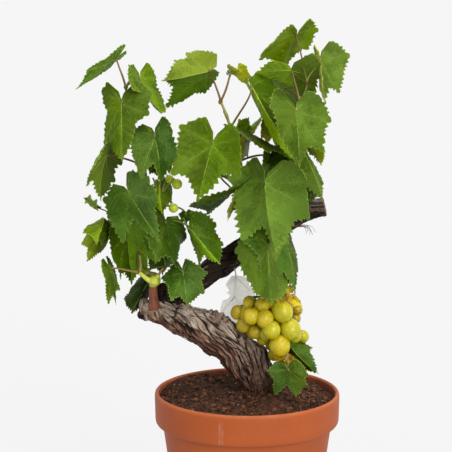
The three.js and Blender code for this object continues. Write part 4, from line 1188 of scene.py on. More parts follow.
    "AK": ("green_04", "green_04", (-6.2, -6, 462.4), 69.8, 1.17, -0.32, 1.4, 0.16, -0.17, 0.21, 1.02, -0.11, 0.01, (1, 0.97, 0.88, 0.64, 0.66, 0.94, 0.81), (1, 0.92, 0.88, 0.62, 0.55, 1.03, 1.02)),
    "AL": ("green_13", "green_13", (24, -2, 432.8), 29.7, -0.05, -0.08, 0.73, 0.4, -0.2, 0.22, 0.98, 0.09, 0, (1, 0.97, 1.22, 0.99, 1, 0.91, 1.09), (1, 1.03, 1, 1, 0.99, 0.94, 1)),
    "AM": ("green_25", "green_12", (-93.4, -8, 407), 34.1, 0.09, -0.73, -0.14, -0.65, -0.65, 0.55, 1.06, -0.74, 0.08, (1, 1, 1, 1, 1, 1, 1), (1, 1, 1, 1, 1, 1, 1)),
}


def front_leaf(name):
    tint, tint_r, J, s, a, p, ro, fl, fr, c, wx, g, tw, left, right = FRONT[name]
    P = leaf_params(J=J, s=s, a=a, p=p, r=ro, fl=fl, fr=fr, c=c, wx=wx, g=g, tw=tw, left=left, right=right)
    return (tint, tint_r), P


AREAS = {
    "left": ["foliage_left_upper", "foliage_left_middle", "foliage_left_tip", "foliage_left_crest", "foliage_left_side"],
    "left_low": ["foliage_left_low", "foliage_left_under", "foliage_centre_low"],
    "centre": ["foliage_centre", "foliage_centre_crest"],
    "right": ["foliage_right_middle", "foliage_right_crest"],
    "right_low": ["foliage_right_low", "foliage_foot"],
    "back": ["foliage_back_left", "foliage_back_centre", "foliage_back_right"],
}
AREA_OF = {
    "left": "A B C D E V", "left_low": "F W X Y Z AA AB AC AD AE AM", "centre": "G H I AH AH2 AJ AI AL",
    "right": "J1 K L M N O P AK", "right_low": "Q R S T U AF AG",
}
area_of = {n: k for k, v in AREA_OF.items() for n in v.split()}

blades = {k: Heap() for k in AREAS}
veins = {k: Heap() for k in AREAS}
used_tints = {k: [] for k in AREAS}
silhouettes = []


def add_leaf(area, tint, P, seed, step):
    """One leaf; tint names the paint of its left and right halves, a lighter half carrying painted light and a darker
    half painted shade.
    """
    blade, vein = grow_leaf(P, seed, step)
    tints = tint if isinstance(tint, tuple) else (tint, tint)
    for t in tints:
        if t not in used_tints[area]:
            used_tints[area].append(t)
    k = np.array([used_tints[area].index(t) for t in tints])
    blades[area].add_mixed_painted(blade, k * 5)
    veins[area].add(vein["v"], vein["q"], vein["qm"] + k[vein["qh"]] * 2)


def _painted(self, blade, base):
    base = np.array(base) if np.ndim(base) else np.array([base, base])
    n0 = self.n
    self.v.append(np.asarray(blade["v"], np.float32))
    self.f[3].append(np.asarray(blade["t"], np.int32) + n0)
    self.m[3].append(np.asarray(blade["tm"] + base[blade["th"]], np.int32))
    self.f[4].append(np.asarray(blade["q"], np.int32) + n0)
    self.m[4].append(np.asarray(blade["qm"] + base[0], np.int32))
    self.n += len(blade["v"])


Heap.add_mixed_painted = _painted
front_params = {}
# how deep the teeth are and how fine, where a leaf differs from its neighbours
EDGE = {"A": (0.14, 1.9), "B": (0.7, 1.0), "C": (0.6, 1.0), "J1": (0.4, 1.0), "W": (0.3, 1.0), "E": (0.8, 1.0), "Y": (0.6, 1.0), "AF": (0.5, 1.0), "AK": (0.4, 1.0), "Z": (0.7, 1.0), "V": (0.6, 1.3)}
for i, name in enumerate(FRONT):
    tint, P = front_leaf(name)
    P["bite"], P["tooth"] = EDGE.get(name, (0.9, 1.0))
    P["rib"] = {"J1": 0.6, "A": 0.6, "Y": 0.7, "AF": 0.7, "AC": 0.8}.get(name, 1.0)
    front_params[name] = P
    add_leaf(area_of[name], tint, P, 100 + i * 7, 2.5 if P["s"] > 40 else 2.0)
    th = np.linspace(-176, 176, 90)
    u, v = outline_uv(th, P)
    silhouettes.append(seen_at(place(*bend(u, v, 0 * u, P), P)))

# ------------------------------------------------------------------ shoots with their nodes
green = [stem_material("shoot_green", times(lin(120, 128, 48), 0.85), times(lin(96, 104, 36), 0.85), times(lin(126, 84, 44), 0.85)),
         stem_material("shoot_red", times(lin(134, 82, 52), 0.85), times(lin(112, 92, 48), 0.85), times(lin(84, 48, 34), 0.85)),
         stem_material("stalk_tan", times(lin(158, 128, 72), 0.85), times(lin(128, 112, 52), 0.85), times(lin(110, 76, 44), 0.85)),
         stem_material("node_green", times(lin(190, 200, 68), 1.0), times(lin(168, 182, 52), 1.0), times(lin(212, 214, 110), 1.0), rough=0.42),
         stem_material("bud_brown", times(lin(112, 72, 48), 0.85), times(lin(84, 52, 34), 0.85), times(lin(54, 34, 24), 0.85), rough=0.7),
         stem_material("stem_yellow", times(lin(170, 168, 84), 0.85), times(lin(146, 140, 62), 0.85), times(lin(128, 92, 50), 0.85))]
GREEN, RED, TAN, NODE, BUD, STEM = range(6)


def shoot(heap, stations, colour, node_every=38.0, seed=0, swell=1.38, sides=12):
    """A shoot with swollen nodes; returns its path for the stalks to join."""
    P, R = spline(stations, 1.6)
    s = np.concatenate([[0], np.cumsum(np.linalg.norm(np.diff(P, axis=0), axis=1))])
    r = random.Random(seed)
    nodes, at_s = [], r.uniform(0.4, 0.8) * node_every
    while at_s < s[-1] - 6:
        nodes.append(at_s)
        at_s += node_every * r.uniform(0.85, 1.15)
    for k in nodes:
        R = R * (1 + (swell - 1) * np.exp(-(((s - k) / 3.4) ** 2)))
    # a slight zigzag from node to node
    T, A, B = frames(P, (0, 1, 0))
    zig = np.zeros(len(P))
    for q, k in enumerate(nodes):
        zig += (1 if q % 2 else -1) * 0.9 * np.exp(-(((s - k) / 15.0) ** 2))
    P = P + A * zig[:, None] * 0.6
    V, t3, q4 = tube(P, R, sides)
    heap.add_mixed(V, t3, q4, colour)
    for q, k in enumerate(nodes):  # a small winter bud at each node
        i = int(np.searchsorted(s, k))
        side = unit(A[i] * (1 if q % 2 else -1) + B[i] * 0.3)
        b0 = P[i] + side * R[i] * 0.7 + T[i] * 1.0
        bp = np.array([b0, b0 + side * 1.4 + T[i] * 1.6, b0 + side * 1.9 + T[i] * 3.2, b0 + side * 1.6 + T[i] * 4.6])
        V, t3, q4 = tube(bp, [1.3, 1.6, 1.1, 0.25], 8)
        heap.add_mixed(V, t3, q4, BUD)
    return P, R, s


stems = Heap()
paths = {}
for name, st, col, sd in (("left", LEFT_SHOOT, GREEN, 1), ("centre", CENTRE_SHOOT, STEM, 2), ("right", RIGHT_SHOOT, GREEN, 3),
                          ("left_side", LEFT_SIDE, GREEN, 4), ("centre_side", CENTRE_SIDE, GREEN, 5), ("right_side", RIGHT_SIDE, RED, 6)):
    paths[name] = shoot(stems, st, col, seed=sd)
paths["bunch"] = shoot(stems, BUNCH_STALK, TAN, seed=8, swell=1.2)

stalks = Heap()


def stalk(p0, out, P, colour, r0=1.25, r1=0.85, reach=0.42, sides=8, lift=None, behind=False):
    """A leaf stalk from p0 on a shoot to the leaf's joint."""
    U, V, W = leaf_axes(P)
    J = np.array(P["J"], float)
    L = np.linalg.norm(J - p0)
    end = unit(-0.75 * V - 0.65 * W) if lift is None else unit(np.array(lift, float))
    p1 = p0 + unit(out) * L * reach * 0.8
    p2 = J + end * L * reach * 0.6
    C = bezier(p0, p1, p2, J, max(8, int(L / 3.5)))
    if behind:
        C = behind_blade(C, P)
    n = len(C)
    f = np.linspace(0, 1, n)
    R = r0 * (1 - f) + r1 * f + 0.75 * np.exp(-((f / 0.07) ** 2)) + 0.35 * np.exp(-(((1 - f) / 0.06) ** 2))
    Vt, t3, q4 = tube(C, R, sides)
    stalks.add_mixed(Vt, t3, q4, colour)
    return C


def behind_blade(C, P, gap=1.6, clear=4.0):
    """Moves the points of a stalk that would lie before its own blade to just behind it."""
    g = np.linspace(-1, 1, 61)
    U_, V_ = np.meshgrid(g, g)
    u, v = U_.ravel(), V_.ravel()
    ring = np.stack(outline_uv(np.linspace(-176, 176, 90), P), -1)
    ok = inside(ring, np.stack([u, v], -1))
    X = place(*bend(u[ok], v[ok], 0 * u[ok], P), P)
    q = seen_at(X)
    out = C.copy()
    for n, c in enumerate(C):
        if np.linalg.norm(c - np.array(P["J"])) < clear:
            continue
        d = np.hypot(*(q - seen_at(c)).T)
        near = d < 2.2
        if near.any():
            y = X[near, 1].max() + gap
            if c[1] < y:
                out[n] = spot(*seen_at(c), y)
    for _ in range(3):
        out[1:-1] = 0.25 * out[:-2] + 0.5 * out[1:-1] + 0.25 * out[2:]
    return out


def nearest_on(path, q):
    P = paths[path][0]
    i = int(np.argmin(((P - q) ** 2).sum(1)))
    return i, P[i]


def auto_stalk(P, colour, avoid=(), limit=95.0):
    """Joins a leaf to the best-placed point of any shoot."""
    J = np.array(P["J"], float)
    U, V, W = leaf_axes(P)
    best = None
    want = 0.72 * P["s"]
    for k in ("left", "centre", "right", "left_side", "centre_side", "right_side"):
        Q = paths[k][0]
        d = Q - J
        L = np.linalg.norm(d, axis=1)
        side = (unit(d) @ (-0.5 * V - 0.8 * W))
        cost = np.abs(L - want) / want + 0.5 * (1 - side) + 0.6 * np.clip(d[:, 2] / np.maximum(L, 1) - 0.2, 0, 1) + 3.0 * (L > limit)
        i = int(np.argmin(cost))
        if best is None or cost[i] < best[0]:
            best = (cost[i], k, i)
    _, k, i = best
    Pk, Rk, _ = paths[k]
    p0 = Pk[i]
    T = unit(Pk[min(i + 1, len(Pk) - 1)] - Pk[max(i - 1, 0)])
    out = unit(J - p0)
    out = unit(out - np.dot(out, T) * T * 0.4 + T * 0.35)
    return stalk(p0 + out * Rk[i] * 0.3, out, P, colour)


# stalks that show: where they leave the shoot (px of the camera's view, depth), paint, first direction
SHOWN = {
    "A": ("left", (125, 88.5, 0), TAN, (-0.15, 0, 1)),
    "H": ("centre", (220.5, 102, -3), RED, (-0.25, 0.1, 1)),
    "M": ("right", (303, 63, 0), RED, (-0.1, 0, 1)),
    "L": ("right", (299.9, 104.5, 4), TAN, (-0.25, 0, 1)),
    "N": ("right", (307.0, 82, 2), STEM, (0.35, 0, 1)),
    "K": ("right", (300.2, 104, 4), TAN, (-0.2, -1, 0)),
    "D": ("left", (130, 169, 0), RED, (-0.8, -0.2, 0.6)),
    "J1": ("centre", (233, 127.5, 4), TAN, (0.5, 0, 1)),
    "I": (None, (229.7, 76, -1), GREEN, (0.25, 0, 1)),
    "Y": (None, (137.5, 272, -22), TAN, (-1, 0, 0.1)),
    "V": ("left", (118, 221, -6), RED, (-1, -0.2, 0.2)),
    "W": ("left", (118, 223, -6), TAN, (-1, -0.2, 0.1)),
    "AC": ("left", (133, 222, -4), GREEN, (0.6, 0.6, 0.3)),
    "AD": ("left", (139, 276, -8), GREEN, (0.5, 0.8, 0.1)),
}
END_DIR = {"K": (0.2, 0.6, 0.9), "H": (0.35, 1.6, -0.9), "I": (-0.3, 0.2, -1), "M": (0.3, 0.2, -1), "N": (-0.25, 0.3, -1), "L": (0.35, 0.0, -1),
           "A": (0.2, 0.1, -1), "J1": (-0.2, 0.2, -1), "D": (1, 0.2, -0.4), "Y": (1, 0.1, 0.2), "V": (1, 0.3, -0.3)}
for i, (name, P) in enumerate(front_params.items()):
    thin = {"N": 0.55, "M": 0.8, "L": 0.85}.get(name, 0.72 if P["s"] < 34 else 1.0)
    if name in SHOWN:
        k, (px, py, y), col, out = SHOWN[name]
        p0 = spot(px, py, y) if k is None else nearest_on(k, spot(px, py, y))[1]
        stalk(p0, out, P, col, 1.2 * thin, 0.85 * thin, lift=END_DIR.get(name), behind=name == "H")
    else:
        auto_stalk(P, rnd.choice([GREEN, TAN, RED, GREEN]))

# small leaves tucked in behind the front ones, in the dark green of the shade they fill: painted shade
TUCKED = {"right": [((311, 188, 3), 17, 0.05, 0.1, 0.1, "dark_small")],
          "left_low": [((160, 252, 2), 25, 0.15, -0.1, 0.2, "dark_small"), ((155, 162, 6), 16, 0.2, 0.1, 0.3, "dark_small"), ((186, 214, 8), 12, 0.1, 0.2, 0.2, "dark_small")]}
for area, rows in TUCKED.items():
    for n, ((px, py, y), s_, a_, p_, r_, tint) in enumerate(rows):
        P = leaf_params(J=tuple(spot(px, py, y)), s=float(s_), a=a_, p=p_, r=r_, fl=0.2, fr=-0.1, c=0.3, g=0.1, tw=0.1)
        add_leaf(area, tint, P, 1700 + n * 5, 2.2)
        auto_stalk(P, GREEN)

# ------------------------------------------------------------------ leaves behind, grown where the front leaves hide them
front_polys = [p for p in silhouettes]


def hidden(P, margin=0.985):
    th = np.linspace(-172, 172, 64)
    u, v = outline_uv(th, P)
    k = np.array([1.05, 0.8, 0.55, 0.3])[:, None]
    u, v = (k * u).ravel(), (k * v).ravel()
    q = seen_at(place(*bend(u, v, 0 * u, P), P))
    m = np.zeros(len(q), bool)
    for poly in front_polys:
        m[~m] = inside(poly, q[~m])
        if m.all():
            break
    return m.mean() >= margin


def random_shape(r):
    return tuple(r.uniform(lo, hi) for lo, hi in ((0.88, 1.12), (0.9, 1.1), (0.9, 1.1), (0.9, 1.12), (0.85, 1.15), (0.93, 1.07), (0.93, 1.07)))


back = []
gr = random.Random(29)
places = []
for k in ("left", "left_side", "centre", "centre_side", "right", "right_side"):
    Pk, Rk, sk = paths[k]
    for i in range(4, len(Pk) - 1, 5):
        places.append((k, i))
BACK_TINTS = sorted(t for t in TINTS if t.startswith("green_"))[5:20]
tries = 0
while len(back) < 46 and tries < 5200:
    tries += 1
    k, i = gr.choice(places)
    Pk, Rk, sk = paths[k]
    p0 = Pk[i]
    yaw = math.pi + gr.uniform(-1.35, 1.35)
    s = gr.uniform(34, 62)
    reach = s * gr.uniform(0.55, 0.95)
    rise = gr.uniform(-0.1, 0.75)
    # yaw 0 faces the front (-Y); the stalk goes the way the blade will face
    face = np.array([math.sin(yaw), -math.cos(yaw), 0.0])
    d = unit(face * 1.0 + np.array([gr.uniform(-0.5, 0.5), 0, rise]))
    J = p0 + d * reach
    if J[1] < 14 or J[1] > 66 or J[2] > 548:
        continue
    P = leaf_params(J=tuple(J), s=s, a=gr.uniform(-0.5, 0.5), p=gr.uniform(-0.75, -0.05), r=gr.uniform(-0.35, 0.35),
                    fl=gr.uniform(-0.35, 0.15), fr=gr.uniform(-0.35, 0.15), c=gr.uniform(0.0, 0.6), wx=gr.uniform(0.95, 1.1),
                    g=gr.uniform(-0.3, 0.3), tw=gr.uniform(-0.3, 0.3), rip=gr.uniform(0.02, 0.05), rph=gr.uniform(0, 6), left=random_shape(gr), right=random_shape(gr))
    P["yaw"] = yaw
    mid = place(*bend(np.array([0.0]), np.array([0.42]), np.array([0.0]), P), P)[0]
    th = np.linspace(-170, 170, 40)
    u, v = outline_uv(th, P)
    body = place(*bend(u, v, 0 * u, P), P)
    if body[:, 1].max() > 92 or body[:, 1].min() < 6 or body[:, 2].max() > 575:
        continue
    if any(np.linalg.norm(mid - q[0]) < 0.36 * (s + q[1]) for q in back):
        continue
    if not hidden(P):
        continue
    back.append((mid, s, P, p0, d, k))
for n, (mid, s, P, p0, d, k) in enumerate(back):
    add_leaf("back", gr.choice(BACK_TINTS), P, 2000 + n * 13, 3.3)
    stalk(p0, unit(d + np.array([0, 0, 0.4])), P, gr.choice([GREEN, TAN, RED]), 1.2, 0.8)
print("leaves behind:", len(back), "of", tries, "tries")

for k, nodes in AREAS.items():
    mats, vmats = [], []
    for t in used_tints[k]:
        m = tint_materials(t)
        mats += m[:5]
        vmats += m[5:]
    blades[k].piece(f"leaves_{k}", mats, "leaf", nodes)
    veins[k].piece(f"leaf_veins_{k}", vmats, "leaf", nodes)
    print(k, "leaf triangles", blades[k].triangles(), "vein triangles", veins[k].triangles())

stem_nodes = ["left_shoot", "centre_shoot", "right_shoot", "left_side_shoot", "centre_side_shoot", "right_side_shoot", "bunch_stalk"]
stems.piece("shoots", green, "green_shoot", stem_nodes)
stalks.piece("leaf_stalks", green, "green_shoot")

# ------------------------------------------------------------------ knobs, buds and fibres
bits = Heap()


def lump(heap, centre, radii, colour, seed=0, rough=0.12, rings=14, sides=20, axis=(0, 0, 1), wave=2.0):
    """An uneven rounded knob."""
    ax = unit(axis)
    a = unit(np.cross(ax, (0.3, 1, 0.2)))
    b = np.cross(ax, a)
    ph = np.linspace(0, math.pi, rings + 1)[1:-1]
    th = np.arange(sides) * 2 * math.pi / sides
    PHI, TH = np.meshgrid(ph, th, indexing="ij")
    d = np.stack([np.sin(PHI) * np.cos(TH), np.sin(PHI) * np.sin(TH), np.cos(PHI)], -1)
    k = 1 + rough * 2 * (fbm(d[..., 0] * wave + 7, d[..., 1] * wave, d[..., 2] * wave, 3, seed) - 0.5)
    q = d * k[..., None] * np.array(radii)
    ring = np.array(centre) + q[..., :1] * a + q[..., 1:2] * b + q[..., 2:] * ax
    n = rings - 1
    top, bot = np.array(centre) + ax * radii[2], np.array(centre) - ax * radii[2]
    V = np.vstack([ring.reshape(-1, 3), top, bot])
    i = np.arange(n - 1)[:, None] * sides
    j = np.arange(sides)[None]
    kk = (j + 1) % sides
    quads = np.stack([i + j, i + sides + j, i + sides + kk, i + kk], -1).reshape(-1, 4)
    j, kk = j[0], kk[0]
    t0 = np.stack([np.full(sides, n * sides), j, kk], -1)
    t1 = np.stack([np.full(sides, n * sides + 1), (n - 1) * sides + kk, (n - 1) * sides + j], -1)
    heap.add_mixed(V, np.vstack([t0, t1]), quads, colour)


knob = spot(154.6, 281.0, -15)
lump(bits, knob, (6.4, 5.8, 5.6), NODE, 3, 0.10)
lump(bits, knob + np.array([-5.0, -0.4, 1.0]), (2.7, 3.0, 3.2), NODE, 4, 0.12, axis=(-0.6, 0, 1))
lump(bits, knob + np.array([3.0, 0.6, 4.2]), (2.6, 2.3, 2.6), NODE, 5, 0.14, axis=(0.5, 0, 1))
lump(bits, knob + np.array([-1.4, -1.6, -4.2]), (4.6, 4.0, 2.6), STEM, 15, 0.12)
lump(bits, knob + np.array([-6.6, 1.0, 5.0]), (1.9, 1.9, 2.2), BUD, 16, 0.2)
lump(bits, spot(137.4, 272, -21), (2.0, 2.0, 1.9), BUD, 6, 0.2)
lump(bits, spot(164.2, 267.5, -14), (1.5, 1.5, 1.6), BUD, 7, 0.2)
for st, y_, col in ((((151.5, 281.5, 3.0), (147.5, 279.2, 2.6), (143.6, 276, 2.3), (140.2, 273.2, 2.1), (138, 271.6, 1.8)), -16, NODE),
                    (((138, 272.5, 1.4), (140.3, 269, 1.75), (140.8, 264, 1.5), (140.2, 259, 1.25), (139.6, 255.2, 1.1)), -20, STEM),
                    (((139.7, 256.4, 1.25), (139.4, 253.6, 1.1), (139.2, 251.4, 0.6)), -20, BUD),
                    (((158, 276, 1.5), (161, 271, 1.2), (164.2, 267.5, 1.1)), -14, TAN),
                    (((164.4, 267, 1.0), (165.2, 263, 0.9), (164.4, 259, 0.8)), -13, GREEN)):
    pts = [tuple(spot(x, y, y_ + (0 if k_ else 1.5))) + (r,) for k_, (x, y, r) in enumerate(st)]
    P_, R_ = spline(pts, 1.0)
    bits.add_mixed(*tube(P_, R_, 12), col)
# the bud and torn scale at the top of the left shoot, and the cluster at the right shoot's tip
lump(bits, spot(126, 86.5, 0), (2.4, 2.2, 3.2), GREEN, 11, 0.2, axis=(0.3, 0, 1))
lump(bits, spot(129, 83, 1), (1.8, 1.6, 2.8), TAN, 12, 0.25, axis=(0.5, 0, 1))
lump(bits, spot(220.5, 102, -3), (2.4, 2.3, 2.6), TAN, 13, 0.15)
for px, py, y, r_ in ((229, 66.5, 0, 2.0), (231.5, 69.5, 1, 2.4), (228.8, 71.5, 0, 1.7), (227.4, 73.5, -1, 1.3)):
    lump(bits, spot(px, py, y), (r_, r_ * 0.9, r_ * 1.2), GREEN, int(px * 7), 0.3)
for a_, b_ in (((220.5, 102, -3), (229.7, 76, -1)), ((229.7, 76, -1), (229.3, 67, 0))):
    p0, p1 = spot(*a_), spot(*b_)
    mid_ = (p0 + p1) / 2 + np.array([1.2, 0, -0.6])
    bits.add_mixed(*tube(bezier(p0, mid_, mid_, p1, 12), np.linspace(1.25, 1.0, 12), 8), RED if a_[0] < 225 else GREEN)
for px, py, y in ((306.5, 83.5, 0), (303, 63.5, 1), (299.7, 104.5, 4), (305.8, 57, 0)):
    lump(bits, spot(px, py, y), (1.7, 1.6, 1.8), BUD, int(px), 0.2)
# tendrils: fine curling threads
for seed_, (p0, p1, turns) in enumerate((((137, 150, 2), (131, 132, -6), 1.2), ((231, 150, 6), (226, 160, -4), 1.4), ((147, 160, 2), (151, 148, 6), 1.0))):
    a3, b3 = spot(*p0), spot(*p1)
    t_ = np.linspace(0, 1, 42)
    wob_ = (1 - t_)[:, None] * 0
    path = a3 + (b3 - a3) * t_[:, None]
    rad_ = 3.2 * t_ * (1 - 0.35 * t_)
    path = path + np.stack([np.cos(t_ * turns * 2 * math.pi) - 1, 0.7 * np.sin(t_ * turns * 2 * math.pi), 0.3 * np.sin(t_ * 5)], -1) * rad_[:, None]
    bits.add_mixed(*tube(path, np.linspace(0.62, 0.28, 42), 6), TAN if seed_ else GREEN)
bits.piece("knobs_and_buds", green, "green_shoot")

fib_mat = stem_material("bark_thread", times(lin(120, 76, 56), 0.85), times(lin(92, 62, 46), 0.85), times(lin(60, 40, 30), 0.85), rough=0.8)
threads = Heap()
fr_ = random.Random(3)
for n_ in range(7):
    a3 = spot(297 + fr_.uniform(-3, 3), 226.5 + fr_.uniform(-1, 1), 6 + fr_.uniform(-3, 3))
    reach_ = fr_.uniform(9, 17)
    b3 = a3 + np.array([reach_, fr_.uniform(-3, 3), fr_.uniform(-1, 1)])
    c3 = b3 + np.array([fr_.uniform(-1, 3), fr_.uniform(-2, 2), -fr_.uniform(4, 9)])
    threads.add_mixed(*tube(bezier(a3, a3 + np.array([reach_ * 0.4, 0, 1.5]), b3 + np.array([1, 0, 1.5]), c3, 16), np.linspace(0.34, 0.16, 16), 5), 0)
# loose shreds of bark along the trunk
TP, TR = spline(TRUNK_SEEN + TRUNK_TIP, 1.0)
TT, TA, TB = frames(TP, (0, 1, 0))
for n_ in range(84):
    i0 = fr_.randrange(26, len(TP) - 40)
    ang = fr_.uniform(0, 2 * math.pi)
    m_ = fr_.randrange(8, 26)
    idx = np.arange(i0, min(i0 + m_, len(TP) - 2))
    aa = ang + (idx - i0) * 0.013 + 0.03 * np.sin(idx * 0.14)
    off = TR[idx] + 0.9 + 1.9 * ((idx - i0) / m_) ** 2 * fr_.uniform(0.1, 1)
    path = TP[idx] + (TA[idx] * np.cos(aa)[:, None] + TB[idx] * np.sin(aa)[:, None]) * off[:, None]
    threads.add_mixed(*tube(path, np.linspace(0.50, 0.16, len(idx)) * fr_.uniform(0.5, 1.2), 5, flat=0.5), 1)
shred_mat = stem_material("bark_shred", times(lin(132, 114, 98), 0.9), times(lin(92, 74, 60), 0.9), times(lin(56, 40, 30), 0.9), rough=0.85)
threads.piece("bark_threads", [fib_mat, shred_mat], "bark")

# ------------------------------------------------------------------ berries
def berry_material(name, base, deep, speck, waxy, speckle=0.5):
    g = Graph(name)
    obj = g.coords("Object")
    n1 = g.noise(obj, 90, 2.0)
    n2 = g.noise(obj, 420, 3.0, 0.6)
    vor = g.node("TexVoronoi")
    vor.inputs["Scale"].default_value = 330
    g.link(obj, vor.inputs["Vector"])
    c = g.mix(g.span(n1, 0.35, 0.68, 0.0, 1.0), base, deep)
    c = g.mix(g.span(n2, 0.45, 0.75, 0.0, waxy), c, times(lin(228, 226, 160), 0.9))
    c = g.mix(g.math("MULTIPLY", g.span(vor.outputs["Distance"], 0.10, 0.16, 1.0, 0.0), speckle), c, speck)
    g.set(color=c, rough=g.span(n2, 0.35, 0.7, 0.24, 0.42), spec=0.34, sss=0.5, sss_scale=0.005, sss_radius=(1.0, 0.85, 0.05))
    g.bump(n2, 0.10, 0.0002)
    return g.mat


berry_mats = [berry_material("berry_green", lin(176, 166, 3), lin(156, 150, 2), lin(128, 96, 10), 0.14, 0.25),
              berry_material("berry_yellow", lin(184, 166, 3), lin(166, 146, 2), lin(124, 84, 8), 0.12, 0.3),
              berry_material("berry_amber", lin(166, 150, 2), lin(150, 126, 2), lin(92, 52, 6), 0.10, 0.9),
              berry_material("berry_orange", lin(196, 150, 4), lin(172, 120, 3), lin(112, 62, 8), 0.10, 0.6),
              berry_material("berry_young", lin(176, 192, 24), lin(152, 174, 16), lin(100, 98, 34), 0.3)]
SCAR = len(berry_mats)
berry_mats.append(stem_material("berry_scar", times(lin(96, 66, 36), 0.9), times(lin(70, 48, 28), 0.9), times(lin(50, 34, 22), 0.9), rough=0.8))
PEDICEL = len(berry_mats)
berry_mats.append(stem_material("berry_stalk", times(lin(150, 152, 70), 0.85), times(lin(128, 118, 56), 0.85), times(lin(104, 78, 44), 0.85)))
grapes = Heap()


def berry(heap, centre, r, axis, paint, long=1.07, seed=0, rings=16, sides=24):
    """A grape: stem dimple at -axis, blossom scar at +axis."""
    ax = unit(axis)
    a = unit(np.cross(ax, (0.37, 1, 0.21)))
    b = np.cross(ax, a)
    ph = np.linspace(0.0, math.pi, rings + 1)
    th = np.arange(sides) * 2 * math.pi / sides
    ph = ph[1:-1]
    PHI, TH = np.meshgrid(ph, th, indexing="ij")
    d = np.stack([np.sin(PHI) * np.cos(TH), np.sin(PHI) * np.sin(TH), np.cos(PHI)], -1)
    wav = 1 + 0.035 * (fbm(d[..., 0] * 1.4 + seed, d[..., 1] * 1.4, d[..., 2] * 1.4, 2, seed) - 0.5)
    dim = 1 - 0.16 * np.exp(-(((math.pi - PHI) / 0.24) ** 2)) - 0.03 * np.exp(-((PHI / 0.16) ** 2))
    q = d * (wav * dim)[..., None] * np.array([r, r, r * long])
    ring = np.asarray(centre) + q[..., :1] * a + q[..., 1:2] * b + q[..., 2:] * ax
    n = rings - 1
    V = np.vstack([ring.reshape(-1, 3), np.asarray(centre) + ax * r * long * 0.965, np.asarray(centre) - ax * r * long * 0.84])
    i = np.arange(n - 1)[:, None] * sides
    j = np.arange(sides)[None]
    kk = (j + 1) % sides
    quads = np.stack([i + j, i + sides + j, i + sides + kk, i + kk], -1).reshape(-1, 4)
    j, kk = j[0], kk[0]
    t0 = np.stack([np.full(sides, n * sides), j, kk], -1)
    t1 = np.stack([np.full(sides, n * sides + 1), (n - 1) * sides + kk, (n - 1) * sides + j], -1)
    heap.add_mixed(V, np.vstack([t0, t1]), quads, paint)
    tip = np.asarray(centre) + ax * r * long * 0.975
    sv, st_, sq = tube(np.array([tip - ax * 0.4, tip + ax * 0.12]), [0.55, 0.42], 7)
    heap.add_mixed(sv, st_, sq, SCAR)


BUNCH = [(np.array([18.0, -14.0, 264.0]), np.array([33.0, 27.0, 27.0])), (np.array([38.0, -14.0, 236.0]), np.array([25.0, 24.0, 27.0]))]


def front_of_bunch(px, py, r):
    """The depth at which a berry of radius r lies on the bunch's front."""
    y = -40.0
    for _ in range(6):
        q = spot(px, py, y)
        best = 6.0
        for c, h in BUNCH:
            k = 1 - ((q[0] - c[0]) / h[0]) ** 2 - ((q[2] - c[2]) / h[2]) ** 2
            if k > 0:
                best = min(best, c[1] - h[1] * math.sqrt(k) + r * 0.9)
        y = best
    return spot(px, py, y)


SEEN_BERRIES = [(249, 302, 12, 1), (237.4, 312.3, 13.5, 2), (243.7, 324.7, 14.5, 2), (251.5, 316.4, 15.5, 1), (262.3, 304.8, 15, 1), (264.8, 318.9, 17.2, 1),
                (282.2, 311.5, 20.7, 0), (297.1, 309.8, 11, 2), (295.5, 318, 10.5, 2), (271.4, 329.7, 17.6, 0), (290.1, 329.3, 20.7, 0), (255.7, 331.4, 14, 2),
                (263.1, 338.2, 13, 2), (279.7, 345.5, 20.7, 1), (302.9, 336.3, 12, 0), (287.2, 301, 14.5, 3), (273, 303.5, 14, 1), (284.5, 358.5, 14, 2), (279.5, 353.6, 14.5, 3), (275, 345, 12, 1)]
LIFT = {3: -5, 4: 1, 5: -4, 6: -7, 9: -9, 10: -9, 13: -6, 0: 2, 1: 3, 2: 6, 11: 6, 12: 7, 7: 9, 8: 10, 14: 8, 15: 4, 16: 5, 17: 8, 18: 5, 19: 9}
made = []
rachis = [(24, -8, 287), (22, -12, 268), (28, -13, 250), (38, -13, 234), (42, -12, 222)]
RP, RR = spline([p + (r_,) for p, r_ in zip(rachis, (2.0, 1.9, 1.7, 1.4, 1.0))], 1.5)
grapes.add_mixed(*tube(RP, RR, 10), PEDICEL)
br = random.Random(5)
for n_, (px, py, dpx, paint) in enumerate(SEEN_BERRIES):
    r_ = dpx * 0.5 * 1.09
    c = front_of_bunch(px, py, r_)
    c = spot(px, py, c[1] + LIFT.get(n_, 0))
    made.append((c, r_, paint))
for t in range(4000):
    if len(made) >= 62:
        break
    cc, hh = BUNCH[br.randrange(2)]
    d = unit([br.gauss(0, 1), br.gauss(0, 1), br.gauss(0, 1)])
    r_ = br.uniform(7.0, 9.8)
    c = cc + d * (hh - r_ * 0.95) * br.uniform(0.75, 1.0)
    if c[1] < -16 and min(np.linalg.norm(seen_at(c) - seen_at(q)) for q, _, _ in made) > 7:
        continue
    if any(np.linalg.norm(c - q) < 0.74 * (r_ + k) for q, k, _ in made):
        continue
    w = seen_at(c)
    if not (238 < w[0] < 304 and 296 < w[1] < 356):
        continue
    # stays inside the bunch's outline as the camera sees it
    if min(np.linalg.norm(w - seen_at(q)) + r_ * 0.92 - k * 0.92 for q, k, _ in made[:20]) > 5.0:
        continue
    made.append((c, r_, br.choice([1, 1, 0, 2])))
